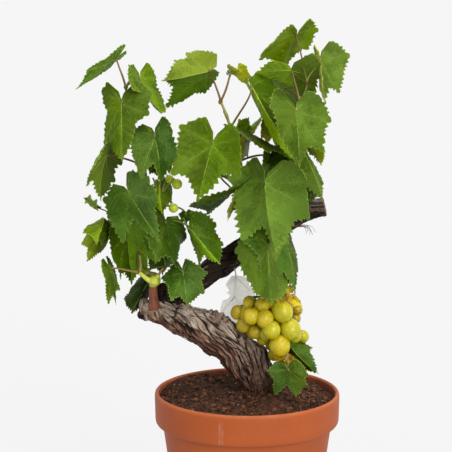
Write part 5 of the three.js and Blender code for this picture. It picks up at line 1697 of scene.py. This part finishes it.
for n_, (c, r_, paint) in enumerate(made):
    j = int(np.argmin(((RP - c) ** 2).sum(1)))
    j = max(0, j - 6)
    away = unit(c - RP[j])
    ax = unit(away * 0.6 + np.array([br.uniform(-0.25, 0.25), br.uniform(-0.25, 0.25), -0.8]))
    berry(grapes, c, r_, ax, paint, long=1.10 if n_ < 20 else 1.12, seed=n_)
    stem_at = c - ax * r_ * 0.86
    C = bezier(RP[j], RP[j] + away * 4, stem_at - ax * 4, stem_at, 9)
    grapes.add_mixed(*tube(C, np.array([0.9, 0.75, 0.7, 0.68, 0.68, 0.7, 0.8, 1.15, 1.5]), 7), PEDICEL)
print("berries", len(made))
# the small unripe berries among the left leaves
for n_, (px, py, dpx, y) in enumerate(((177, 184, 10.2, -24), (169.7, 179.3, 8.4, -20), (173.5, 208, 9.4, -22))):
    c = spot(px, py, y)
    ax = unit((0.4, -0.2, -1) if n_ < 2 else (1, -0.1, -0.3))
    berry(grapes, c, dpx * 0.53, ax, 4, 1.02, 70 + n_)
    root = spot(160, 196, -10) if n_ < 2 else spot(163, 207, -12)
    stem_at = c - ax * dpx * 0.47
    C = bezier(root, root + np.array([4, -2, 6]), stem_at - ax * 5, stem_at, 10)
    grapes.add_mixed(*tube(C, np.linspace(0.9, 0.7, 10), 7), PEDICEL)
C = bezier(spot(163, 215, -8), spot(161, 205, -8), spot(158, 190, -8), spot(153, 178, -6), 16)
grapes.add_mixed(*tube(C, np.linspace(1.2, 0.9, 16), 8), PEDICEL)
grapes.piece("grapes", berry_mats, "grape", ["grape_bunch"])

# ------------------------------------------------------------------ the bleached leaf behind the bunch, and dead scraps
def paper_material(name, base, alt, dark):
    thin = name.startswith("bleached")
    g = Graph(name)
    obj = g.coords("Object")
    n1 = g.noise(obj, 55, 3.0)
    n2 = g.noise(obj, 800, 4.0, 0.7)
    c = g.mix(g.span(n1, 0.38, 0.66, 0.0, 1.0), base, alt)
    c = g.mix(g.span(n2, 0.56, 0.8, 0.0, 0.4), c, dark)
    g.set(color=c, rough=0.78, spec=0.2)
    if thin:
        g.set(sss=1.0, sss_scale=0.004, sss_radius=(1.0, 1.0, 0.95))
    g.bump(n2, 0.5, 0.0004)
    return g.mat


PALE = 0.66
pale_mats = [paper_material("bleached", times(lin(242, 240, 222), PALE), times(lin(236, 234, 214), PALE), times(lin(218, 213, 190), PALE)),
             paper_material("bleached_light", times(lin(247, 245, 230), PALE), times(lin(242, 240, 222), PALE), times(lin(224, 220, 198), PALE)),
             paper_material("bleached_deep", times(lin(232, 230, 210), PALE), times(lin(224, 222, 200), PALE), times(lin(206, 201, 178), PALE)),
             paper_material("bleached_under", times(lin(214, 210, 188), 0.76), times(lin(206, 201, 178), 0.76), times(lin(188, 182, 156), 0.76)),
             paper_material("bleached_rim", times(lin(208, 205, 184), 0.78), times(lin(200, 195, 172), 0.78), times(lin(182, 176, 150), 0.78)),
             paper_material("bleached_vein", lin(212, 209, 196), lin(204, 200, 186), lin(190, 185, 168))]
dead = Heap()
WJ = spot(236, 276, 20)
# the torn blade's edge as the camera sees it; the part behind the berries is rounded off
TORN = [(231.7, 276), (236, 275.3), (240, 276), (246.6, 277.6), (249, 281), (249.3, 285.6), (252.5, 288.6), (255, 292.4), (255.4, 297), (253, 302), (251, 308), (252, 314),
        (248, 320), (244, 325), (238.2, 328.8), (235, 327.8), (230, 324), (228.2, 320), (225.3, 316.4), (220.4, 313.8), (220, 310), (221, 305.9), (222.6, 300.5), (226, 299.6), (228.8, 298),
        (230.2, 295.2), (228.6, 293.6), (226, 292.8), (229, 291.6), (228.2, 288.4), (226.2, 285.6), (226.6, 283), (228, 280.3)]


def torn_sheet(outline, depth, step, seed):
    """A thin closed sheet whose edge is the given seen outline."""
    ring = []
    jr = random.Random(seed)
    for (x0, y0), (x1, y1) in zip(outline, outline[1:] + outline[:1]):
        n = max(2, int(math.hypot(x1 - x0, y1 - y0) / 0.9))
        for k in range(n):
            ring.append((x0 + (x1 - x0) * k / n + jr.uniform(-0.12, 0.12), y0 + (y1 - y0) * k / n + jr.uniform(-0.12, 0.12)))
    ring = np.array(ring)
    lo, hi = ring.min(0), ring.max(0)
    X, Y = np.meshgrid(np.arange(lo[0], hi[0], step), np.arange(lo[1], hi[1], step * 0.866))
    g = np.stack([(X + (np.arange(len(Y)) % 2)[:, None] * step / 2).ravel(), Y.ravel()], -1)
    g = g[inside(ring, g)]
    g = g[edge_distance(ring, g) > 0.45 * step]
    pts = np.vstack([ring, g])
    res = delaunay_2d_cdt([Vector(p) for p in pts], [], [list(range(len(ring)))], 1, 1e-7)
    flat = np.array([list(p) for p in res[0]], float)
    tris = np.array([f for f in res[2] if len(f) == 3], np.int64)
    used = np.unique(tris)
    remap = -np.ones(len(flat), np.int64)
    remap[used] = np.arange(len(used))
    flat, tris = flat[used], remap[tris]
    mid = np.array([spot(x, y, depth(x, y)) for x, y in flat])
    fn = np.cross(mid[tris[:, 1]] - mid[tris[:, 0]], mid[tris[:, 2]] - mid[tris[:, 0]])
    tris = np.where((fn[:, 1] > 0)[:, None], tris[:, ::-1], tris)
    fn = np.cross(mid[tris[:, 1]] - mid[tris[:, 0]], mid[tris[:, 2]] - mid[tris[:, 0]])
    nrm = np.zeros_like(mid)
    for c in range(3):
        np.add.at(nrm, tris[:, c], fn)
    nrm = unit(nrm)
    n = len(mid)
    keys = {}
    for a, b in np.concatenate([tris[:, [0, 1]], tris[:, [1, 2]], tris[:, [2, 0]]]):
        keys[(a, b)] = 1
    rim = np.array([(a, b) for a, b in keys if (b, a) not in keys], np.int64)
    strip = np.stack([rim[:, 1], rim[:, 0], rim[:, 0] + n, rim[:, 1] + n], -1)
    return np.vstack([mid + nrm * 0.13, mid - nrm * 0.13]), np.vstack([tris, tris[:, ::-1] + n]), strip, flat[tris].mean(1)


def torn_depth(x, y):
    fold = 4.5 * abs((x - 236) - 0.10 * (y - 276)) ** 0.8 * 0.25
    wave = 4.0 * (float(fbm(x / 13.0, y / 13.0, 3.3, 2, 12)) - 0.5) + 1.6 * (float(fbm(x / 5.0, y / 5.0, 1.3, 2, 15)) - 0.5)
    return 19 + fold + wave


tv, tt, tq, tc = torn_sheet(TORN, torn_depth, 1.5, 4)
tone_ = fbm(tc[:, 0] / 9.0, tc[:, 1] / 9.0, 0.7, 2, 31)
tp = np.where(tone_ > 0.56, 1, np.where(tone_ < 0.42, 2, 0))
dead.add_mixed(tv, np.zeros((0, 3), int), tq, 4)
n0_ = dead.n - len(tv)
dead.f[3].append(tt.astype(np.int32) + n0_)
dead.m[3].append(np.concatenate([tp, np.full(len(tc), 3)]).astype(np.int32))
for ends in (((236, 276.5), (235, 288), (233, 301), (231, 318)), ((236, 277), (242, 283), (248, 288), (251, 292)), ((236, 277), (231.5, 281), (229, 284), (228, 285.5)),
             ((234, 298), (229, 303), (225, 308), (223, 311)), ((234, 296), (239, 303), (243, 310), (245, 318))):
    q_ = [spot(x, y, torn_depth(x, y) - 0.10) for x, y in ends]
    dead.add_mixed(*tube(bezier(q_[0], q_[1] * 1.0, q_[2] * 1.0, q_[3], 14), np.linspace(0.30, 0.10, 14), 6, flat=0.5), 5)
C = bezier(spot(223.3, 256.3, 14), spot(231, 259, 8), spot(235, 266, 14), WJ, 18)
dead.add_mixed(*tube(C, np.linspace(1.0, 0.75, 18), 8), 5)
dead.piece("bleached_leaf", pale_mats, "withered_leaf", ["withered_leaf"])

scrap_mats = [paper_material("scrap", lin(208, 188, 28), lin(190, 166, 22), lin(150, 118, 22)),
              paper_material("scrap_light", lin(222, 206, 56), lin(206, 186, 40), lin(158, 130, 30)),
              paper_material("scrap_deep", lin(194, 168, 22), lin(170, 136, 18), lin(124, 88, 18)),
              paper_material("scrap_under", lin(196, 174, 60), lin(172, 146, 44), lin(128, 98, 34)),
              paper_material("scrap_rim", lin(150, 122, 62), lin(132, 98, 50), lin(92, 64, 34)),
              paper_material("scrap_vein", lin(160, 140, 76), lin(140, 116, 60), lin(104, 78, 42))]
scraps = Heap()
for n_, (px, py, y, s_, a_, p_, r_) in enumerate(((288, 288, -30, 11, 0.1, 0.2, 0.5), (281, 297, -34, 12, -0.9, 0.4, 0.3), (293, 298, -30, 13, 0.7, -0.3, -0.4),
                                                  (286, 357, -24, 13, 0.2, 0.2, 0.3), (292, 360, -26, 11, 0.9, -0.2, 0.4), (303, 366, -30, 9, 0.4, 0.0, 0.8),
                                                  (279, 300, -34, 9, -1.4, 0.5, 0.1))):
    Pq = leaf_params(J=tuple(spot(px, py, y)), s=float(s_), a=a_, p=p_, r=r_, fl=0.7, fr=0.6, c=0.7, rip=0.09, tw=0.4,
                     left=(1, 0.8, 0.9, 0.8, 0.8, 1, 1), right=(0.9, 0.8, 0.9, 0.8, 0.8, 1, 1))
    Pq.update(crumple=1.6, bite=1.4, tooth=0.8)
    bl, vn = grow_leaf(Pq, 900 + n_, 1.6)
    scraps.add_mixed_painted(bl, 0)
    scraps.add(vn["v"], vn["q"], 5)
for a_, b_, c_, col in (((289.7, 358, -28), (292, 362, -26), (289, 367, -24), 4), ((287, 296, -30), (286.6, 291, -30), (286.4, 287, -30), 1)):
    C = bezier(spot(*a_), spot(*b_), spot(*b_), spot(*c_), 10)
    scraps.add_mixed(*tube(C, np.linspace(0.9, 0.5, 10), 7), col)
scraps.piece("dead_scraps", scrap_mats, "withered_leaf")

# ------------------------------------------------------------------ the pot: one turned shell with a rolled rim
PROFILE = [(0, 0.8), (60, 0.8), (62.5, 0.8), (63.5, 0), (69.8, 0), (70.7, 0.35), (71.2, 1.4), (91.5, 144.2), (91.9, 145.3), (92.8, 146.0), (95.6, 146.1),
           (97.0, 146.4), (98.3, 147.2), (99.1, 148.6), (99.5, 151), (100.0, 172), (100.0, 175.6), (99.85, 177.2), (99.4, 178.6), (98.7, 179.5),
           (97.7, 180.0), (96.8, 179.8), (96.0, 179.1), (95.5, 178.2), (95.3, 176.8), (94.7, 152), (88.1, 142), (68.1, 5.2), (67.2, 4.2), (66.0, 4.0), (0, 4.0)]


def rounded_profile(points, step=2.6):
    out = []
    P = np.array(points, float)
    for a, b in zip(P[:-1], P[1:]):
        L = np.linalg.norm(b - a)
        n = max(1, int(L / step))
        for k in range(n):
            out.append(a + (b - a) * k / n)
    out.append(P[-1])
    return np.array(out)


prof = rounded_profile(PROFILE, 5.0)
SEG = 168
th = np.arange(SEG) * 2 * math.pi / SEG
body = prof[1:-1]
R_ = body[:, 0][:, None] * np.ones(SEG)
Z_ = body[:, 1][:, None] * np.ones(SEG)
# hand-thrown-like unevenness of the moulding: a tenth of a millimetre or two
wv = 0.22 * (fbm(np.cos(th) * 1.5 + 3, np.sin(th) * 1.5, 0.4, 2, 8) - 0.5)[None] * smoothstep(40, 90, R_)
R_ = R_ + wv
Z_ = Z_ + 0.25 * (noise3(np.cos(th) * 1.2, np.sin(th) * 1.2, 2.2, 9) - 0.5)[None] * smoothstep(172, 179, Z_)
V = np.stack([R_ * np.cos(th), R_ * np.sin(th), Z_], -1).reshape(-1, 3)
nb = len(body)
V = np.vstack([V, [0, 0, prof[0][1]], [0, 0, prof[-1][1]]])
i = np.arange(nb - 1)[:, None] * SEG
j = np.arange(SEG)[None]
k = (j + 1) % SEG
Q = np.stack([i + j, i + k, i + SEG + k, i + SEG + j], -1).reshape(-1, 4)
j, k = j[0], k[0]
T0 = np.stack([np.full(SEG, nb * SEG), k, j], -1)
T1 = np.stack([np.full(SEG, nb * SEG + 1), (nb - 1) * SEG + j, (nb - 1) * SEG + k], -1)


def POT_TINT(r, g, b):
    """The pot's colour under the studio light."""
    c = lin(r, g, b)
    return (c[0] * 0.556, c[1] * 0.50, c[2] * 0.36, 1.0)


def pot_material():
    g = Graph("terracotta_plastic")
    obj = g.coords("Object")
    sep = g.node("SeparateXYZ")
    g.link(obj, sep.inputs[0])
    x, y, z = sep.outputs
    big = g.noise(obj, 14, 3.0)
    fine = g.noise(obj, 420, 4.0, 0.65)
    rub = g.noise(g.coords("Object", (1, 1, 0.12)), 160, 3.0)
    k = POT_TINT
    c = g.ramp(big, [(0.30, k(186, 92, 46)), (0.55, k(194, 98, 50)), (0.75, k(204, 106, 56))])
    c = g.mix(g.span(fine, 0.45, 0.8, 0.0, 0.16), c, k(216, 134, 92))
    c = g.mix(g.span(rub, 0.62, 0.78, 0.0, 0.14), c, k(160, 78, 42))
    # paler crown along the rolled rim, mottled by noise: a painted highlight where the lip faces up
    edge = g.math("MULTIPLY", g.span(z, 0.1765, 0.1792, 0.0, 1.0), g.span(g.noise(obj, 60, 3.0), 0.35, 0.6, 0.25, 0.8))
    c = g.mix(g.math("MULTIPLY", edge, 0.35), c, k(224, 146, 104))
    # soil dust on the inner wall and a little on the lip
    rr = g.math("SQRT", g.math("ADD", g.math("MULTIPLY", x, x), g.math("MULTIPLY", y, y)))
    inner = g.math("MULTIPLY", g.span(rr, 0.0953, 0.0962, 1.0, 0.0), g.span(g.noise(obj, 90, 4.0), 0.36, 0.62, 0.15, 0.75))
    inner = g.math("MULTIPLY", inner, g.span(z, 0.1455, 0.1475, 0.0, 1.0))
    c = g.mix(inner, c, lin(84, 52, 36))
    # two pale scuffs down the front of the collar
    for off, wide, much in ((0.0296, 0.0009, 0.55), (0.0268, 0.0012, 0.40)):
        sx = g.math("ADD", x, off)
        sx = g.math("ADD", sx, g.math("MULTIPLY", g.math("SUBTRACT", g.noise(obj, 70, 2.0), 0.5), 0.003))
        line = g.span(g.math("ABSOLUTE", sx), wide * 0.4, wide * 1.5, 1.0, 0.0)
        front = g.math("MULTIPLY", g.span(y, -0.05, -0.03, 1.0, 0.0), g.span(z, 0.146, 0.150, 0.0, 1.0))
        topcut = g.span(z, 0.168, 0.1765, 1.0, 0.0)
        scuff = g.math("MULTIPLY", g.math("MULTIPLY", line, front), g.math("MULTIPLY", topcut, g.span(g.noise(obj, 200, 3.0), 0.36, 0.62, 0.05, much * 0.7)))
        c = g.mix(scuff, c, lin(170, 132, 118))
    g.set(color=c, rough=g.span(fine, 0.3, 0.7, 0.50, 0.62), spec=0.22)
    g.bump(g.math("ADD", g.math("MULTIPLY", fine, 0.5), g.math("MULTIPLY", g.noise(obj, 1600, 2.0), 0.4)), 0.14, 0.0003)
    return g.mat


pot_mat = pot_material()
pot = mesh_from("pot_shell", V, [np.vstack([T0, T1]), Q], [pot_mat])
cutters = Heap()
for n_ in range(8):
    a_ = (n_ + 0.5) / 8 * 2 * math.pi
    c3 = np.array([52 * math.cos(a_), 52 * math.sin(a_), 0.0])
    cutters.add_mixed(*tube(np.array([c3 + [0, 0, -4], c3 + [0, 0, 9]]), [5.5, 5.5], 40, (1, 0, 0), domed=False), 0)
faces_, idx_ = [], []
for kk in (3, 4):
    faces_.append(np.concatenate(cutters.f[kk]))
cut_ob = mesh_from("hole_cutters", np.concatenate(cutters.v), faces_, [pot_mat])
mod = pot.modifiers.new("holes", "BOOLEAN")
mod.object, mod.operation, mod.solver = cut_ob, "DIFFERENCE", "EXACT"
bpy.context.view_layer.update()
dg = bpy.context.evaluated_depsgraph_get()
cut_mesh = bpy.data.meshes.new_from_object(pot.evaluated_get(dg))
pot.modifiers.clear()
pot.data = cut_mesh
bpy.data.objects.remove(cut_ob)
for p in pot.data.polygons:
    p.use_smooth = True
pot.data.set_sharp_from_angle(angle=math.radians(38))
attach(pot, "root")
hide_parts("pot")

# ------------------------------------------------------------------ soil: a crumbly mound with perlite, fibre and bark chips
SOIL_WALL = 167.5


def soil_height(x, y):
    r = np.hypot(x, y)
    mound = SOIL_WALL + 4.5 * (1 - smoothstep(24, 88, r))
    # banked up on the trunk's left side
    mound = mound + 5.5 * np.exp(-(((x - 4) / 18) ** 2) - (((y + 4) / 20) ** 2)) + 4.5 * np.exp(-(((x - 18) / 24) ** 2) - (((y + 8) / 24) ** 2))
    mound = mound + 3.0 * np.exp(-(((x - 34) / 10) ** 2) - (((y + 8) / 14) ** 2))
    mound = mound + 5.4 * smoothstep(-8, -66, x) + 5.2 * smoothstep(4, 62, y) * smoothstep(170, -10, x) + 2.4 * smoothstep(20, 80, x)
    n = 2.6 * (fbm(x / 15.0, y / 15.0, 0.3, 3, 77) - 0.5) + 1.5 * (fbm(x / 4.2, y / 4.2, 1.3, 2, 78) - 0.5)
    return mound + n


NR, NS = 84, 300
rr = np.linspace(0.6, 94.9, NR)
th = np.arange(NS) * 2 * math.pi / NS
RR_, TH_ = np.meshgrid(rr, th, indexing="ij")
X, Y = RR_ * np.cos(TH_), RR_ * np.sin(TH_)
Z = soil_height(X, Y)
rows = [np.stack([X, Y, Z], -1).reshape(-1, 3)]
for z_, r_ in ((160, 94.7), (152.3, 94.3), (142.2, 87.7), (60, 77.7), (5.0, 67.6)):
    rows.append(np.stack([r_ * np.cos(th), r_ * np.sin(th), np.full(NS, float(z_))], -1))
V = np.vstack(rows + [np.array([[0, 0, float(soil_height(np.array([0.0]), np.array([0.0]))[0])], [0, 0, 5.0]])])
n_rows = NR + 5
i = np.arange(n_rows - 1)[:, None] * NS
j = np.arange(NS)[None]
k = (j + 1) % NS
Q = np.stack([i + j, i + NS + j, i + NS + k, i + k], -1).reshape(-1, 4)
j, k = j[0], k[0]
T0 = np.stack([np.full(NS, n_rows * NS), j, k], -1)
T1 = np.stack([np.full(NS, n_rows * NS + 1), (n_rows - 1) * NS + k, (n_rows - 1) * NS + j], -1)


def soil_material(name, dark, mid, light, scale=1.0):
    g = Graph(name)
    obj = g.coords("Object")
    n1 = g.noise(obj, 95 * scale, 5.0, 0.65)
    n2 = g.noise(obj, 520 * scale, 4.0, 0.7)
    n3 = g.noise(obj, 24, 2.0)
    c = g.ramp(n1, [(0.30, dark), (0.52, mid), (0.74, light)])
    c = g.mix(g.span(n2, 0.5, 0.8, 0.0, 0.5), c, times(light, 1.2))
    c = g.mix(g.span(n3, 0.5, 0.75, 0.0, 0.35), c, times(dark, 0.8))
    g.set(color=c, rough=0.93, spec=0.15)
    g.bump(g.math("ADD", n1, n2), 0.9, 0.0012)
    return g.mat


soil_mats = [soil_material("soil_base", lin(28, 17, 12), lin(62, 39, 27), lin(98, 64, 45)),
             soil_material("soil_crumb", lin(44, 27, 19), lin(74, 47, 33), lin(104, 69, 48), 1.6),
             soil_material("soil_crumb_dark", lin(24, 15, 11), lin(42, 26, 19), lin(64, 42, 30), 1.6),
             soil_material("soil_crumb_red", lin(70, 42, 27), lin(104, 65, 42), lin(132, 86, 57), 1.6),
             soil_material("perlite", lin(196, 190, 178), lin(222, 218, 208), lin(236, 232, 224), 1.2),
             soil_material("coir", lin(84, 52, 32), lin(112, 72, 44), lin(140, 96, 62), 2.0)]
soil = Heap()
soil.add_mixed(V, np.vstack([T0, T1]), Q, 0)
# an icosahedron and its once-divided form, for the crumbs
g_ = (1 + 5**0.5) / 2
ICO = unit(np.array([(-1, g_, 0), (1, g_, 0), (-1, -g_, 0), (1, -g_, 0), (0, -1, g_), (0, 1, g_), (0, -1, -g_), (0, 1, -g_), (g_, 0, -1), (g_, 0, 1), (-g_, 0, -1), (-g_, 0, 1)]))
ICF = np.array([(0, 11, 5), (0, 5, 1), (0, 1, 7), (0, 7, 10), (0, 10, 11), (1, 5, 9), (5, 11, 4), (11, 10, 2), (10, 7, 6), (7, 1, 8),
                (3, 9, 4), (3, 4, 2), (3, 2, 6), (3, 6, 8), (3, 8, 9), (4, 9, 5), (2, 4, 11), (6, 2, 10), (8, 6, 7), (9, 8, 1)])


def divide(v, f):
    v = [tuple(p) for p in v]
    memo, out = {}, []

    def half(a, b):
        key = (min(a, b), max(a, b))
        if key not in memo:
            m = unit(np.array(v[a]) + np.array(v[b]))
            memo[key] = len(v)
            v.append(tuple(m))
        return memo[key]

    for a, b, c in f:
        ab, bc, ca = half(a, b), half(b, c), half(c, a)
        out += [(a, ab, ca), (b, bc, ab), (c, ca, bc), (ab, bc, ca)]
    return np.array(v), np.array(out)


ICO2, ICF2 = divide(ICO, ICF)
cr = np.random.RandomState(17)


def trunk_foot(x, y):
    return ((x - 23) / 13.0) ** 2 + ((y - 3) / 13.0) ** 2 < 0.9


def crumb(heap, x, y, size, paint, fine, flat=(1, 1, 0.75), sink=0.35):
    v, f = (ICO2, ICF2) if fine else (ICO, ICF)
    k = 1 + 0.55 * (noise3(v[:, 0] * 1.6 + x, v[:, 1] * 1.6 + y, v[:, 2] * 1.6, int(abs(x * 31 + y * 17)) % 997) - 0.5) * 2 * 0.6
    q = v * k[:, None] * size * np.array(flat)
    a, b = cr.uniform(0, 2 * math.pi), cr.uniform(-0.6, 0.6)
    ca, sa, cb, sb = math.cos(a), math.sin(a), math.cos(b), math.sin(b)
    q = q @ np.array([[ca, -sa, 0], [sa, ca, 0], [0, 0, 1]]).T @ np.array([[1, 0, 0], [0, cb, -sb], [0, sb, cb]]).T
    z = float(soil_height(np.array([x]), np.array([y]))[0])
    heap.add(q + [x, y, z + size * (0.5 - sink) * flat[2]], f, paint)


def scatter(count, lo, hi, power, paints, fine, flat=(1, 1, 0.78)):
    n = 0
    while n < count:
        a, q = cr.uniform(0, 2 * math.pi), 94.0 * math.sqrt(cr.uniform(0, 1))
        size = lo + (hi - lo) * cr.uniform(0, 1) ** power
        if q + size * 0.9 > 94.6:
            continue
        x, y = q * math.cos(a), q * math.sin(a)
        if trunk_foot(x, y) and cr.uniform() < 0.9:
            continue
        crumb(soil, x, y, size, int(cr.choice(paints)), fine, flat)
        n += 1


scatter(620, 1.3, 3.6, 2.2, [1, 1, 2, 2, 3, 3], True, (1, 0.8, 0.66))
scatter(2600, 0.4, 1.3, 1.6, [1, 1, 2, 2, 2, 3], False)
scatter(34, 0.4, 1.0, 1.8, [4], False)
scatter(120, 1.2, 3.0, 1.8, [5, 3, 1, 2, 2], False, (1.0, 0.45, 0.25))
scatter(1500, 0.35, 0.9, 1.2, [3, 3, 1, 2, 1], False)
for n_ in range(120):
    a_, q_ = cr.uniform(0, 2 * math.pi), 88.0 * math.sqrt(cr.uniform(0, 1))
    x, y = q_ * math.cos(a_), q_ * math.sin(a_)
    if trunk_foot(x, y):
        continue
    L_, h_ = cr.uniform(3, 12), cr.uniform(0, 2 * math.pi)
    d_ = np.array([math.cos(h_), math.sin(h_)])
    t_ = np.linspace(-0.5, 0.5, 6)
    px_, py_ = x + d_[0] * L_ * t_ - d_[1] * cr.uniform(-2, 2) * (t_**2) * 4, y + d_[1] * L_ * t_ + d_[0] * cr.uniform(-2, 2) * (t_**2) * 4
    if np.hypot(px_, py_).max() > 93:
        continue
    pz_ = soil_height(px_, py_) + 0.7 + cr.uniform(-0.3, 1.2)
    soil.add_mixed(*tube(np.stack([px_, py_, pz_], -1), np.full(6, cr.uniform(0.16, 0.42)), 5), int(cr.choice([5, 5, 3, 1])))
soil.piece("soil_surface", soil_mats, "soil", ["soil"], smooth=True)
print("soil triangles", soil.triangles())

# ------------------------------------------------------------------ floor, light and camera
world = bpy.data.worlds.new("studio")
world.use_nodes = True
bg = world.node_tree.nodes["Background"]
WORLD = 0.92
bg.inputs[0].default_value = (1, 1, 1, 1)
bg.inputs[1].default_value = WORLD
scene.world = world


def sun(name, direction, strength, angle, color=(1, 1, 1)):
    d = bpy.data.lights.new(name, "SUN")
    d.energy, d.angle, d.color = strength, math.radians(angle), color
    o = bpy.data.objects.new(name, d)
    o.rotation_mode = "QUATERNION"
    o.rotation_quaternion = Vector(direction).to_track_quat("-Z", "Y")
    scene.collection.objects.link(o)
    return max(0.0, -Vector(direction).normalized().z) * strength / math.pi


KEY = sun("key", (-0.42, 0.82, -0.38), 2.2, 30)
TOP = sun("top", (-0.12, 0.18, -1.0), 2.0, 24)
floor_albedo = WORLD / (WORLD + KEY + TOP)
fm = Graph("studio_floor")
GLOW = 0.82  # part of the floor's brightness comes from its own even glow, as on a lit sweep
floor_albedo *= 1 - GLOW
fm.set(color=(floor_albedo, floor_albedo, floor_albedo, 1.0), rough=1.0, spec=0.0)
fm.bsdf.inputs["Emission Color"].default_value = (1, 1, 1, 1)
fm.bsdf.inputs["Emission Strength"].default_value = WORLD * GLOW
fv = [(-60000, -60000, 0), (60000, -60000, 0), (60000, 60000, 0), (-60000, 60000, 0)]
floor = mesh_from("floor", fv, [np.array([[0, 1, 2, 3]])], [fm.mat])
floor.location.z = -0.0004

cam_data = bpy.data.cameras.new("camera")
cam = bpy.data.objects.new("camera", cam_data)
scene.collection.objects.link(cam)
cam_data.sensor_width = 36.0
cam_data.lens = FOCAL / 452 * 36
cam_data.clip_start, cam_data.clip_end = 0.05, 200
cam.location = tuple(EYE * MM)
cam.rotation_euler = (math.pi / 2 - PITCH, 0, 0)
scene.camera = cam
scene.view_settings.view_transform = "Standard"
scene.view_settings.look = "None"
scene.view_settings.exposure = 0.0
scene.view_settings.gamma = 1.0
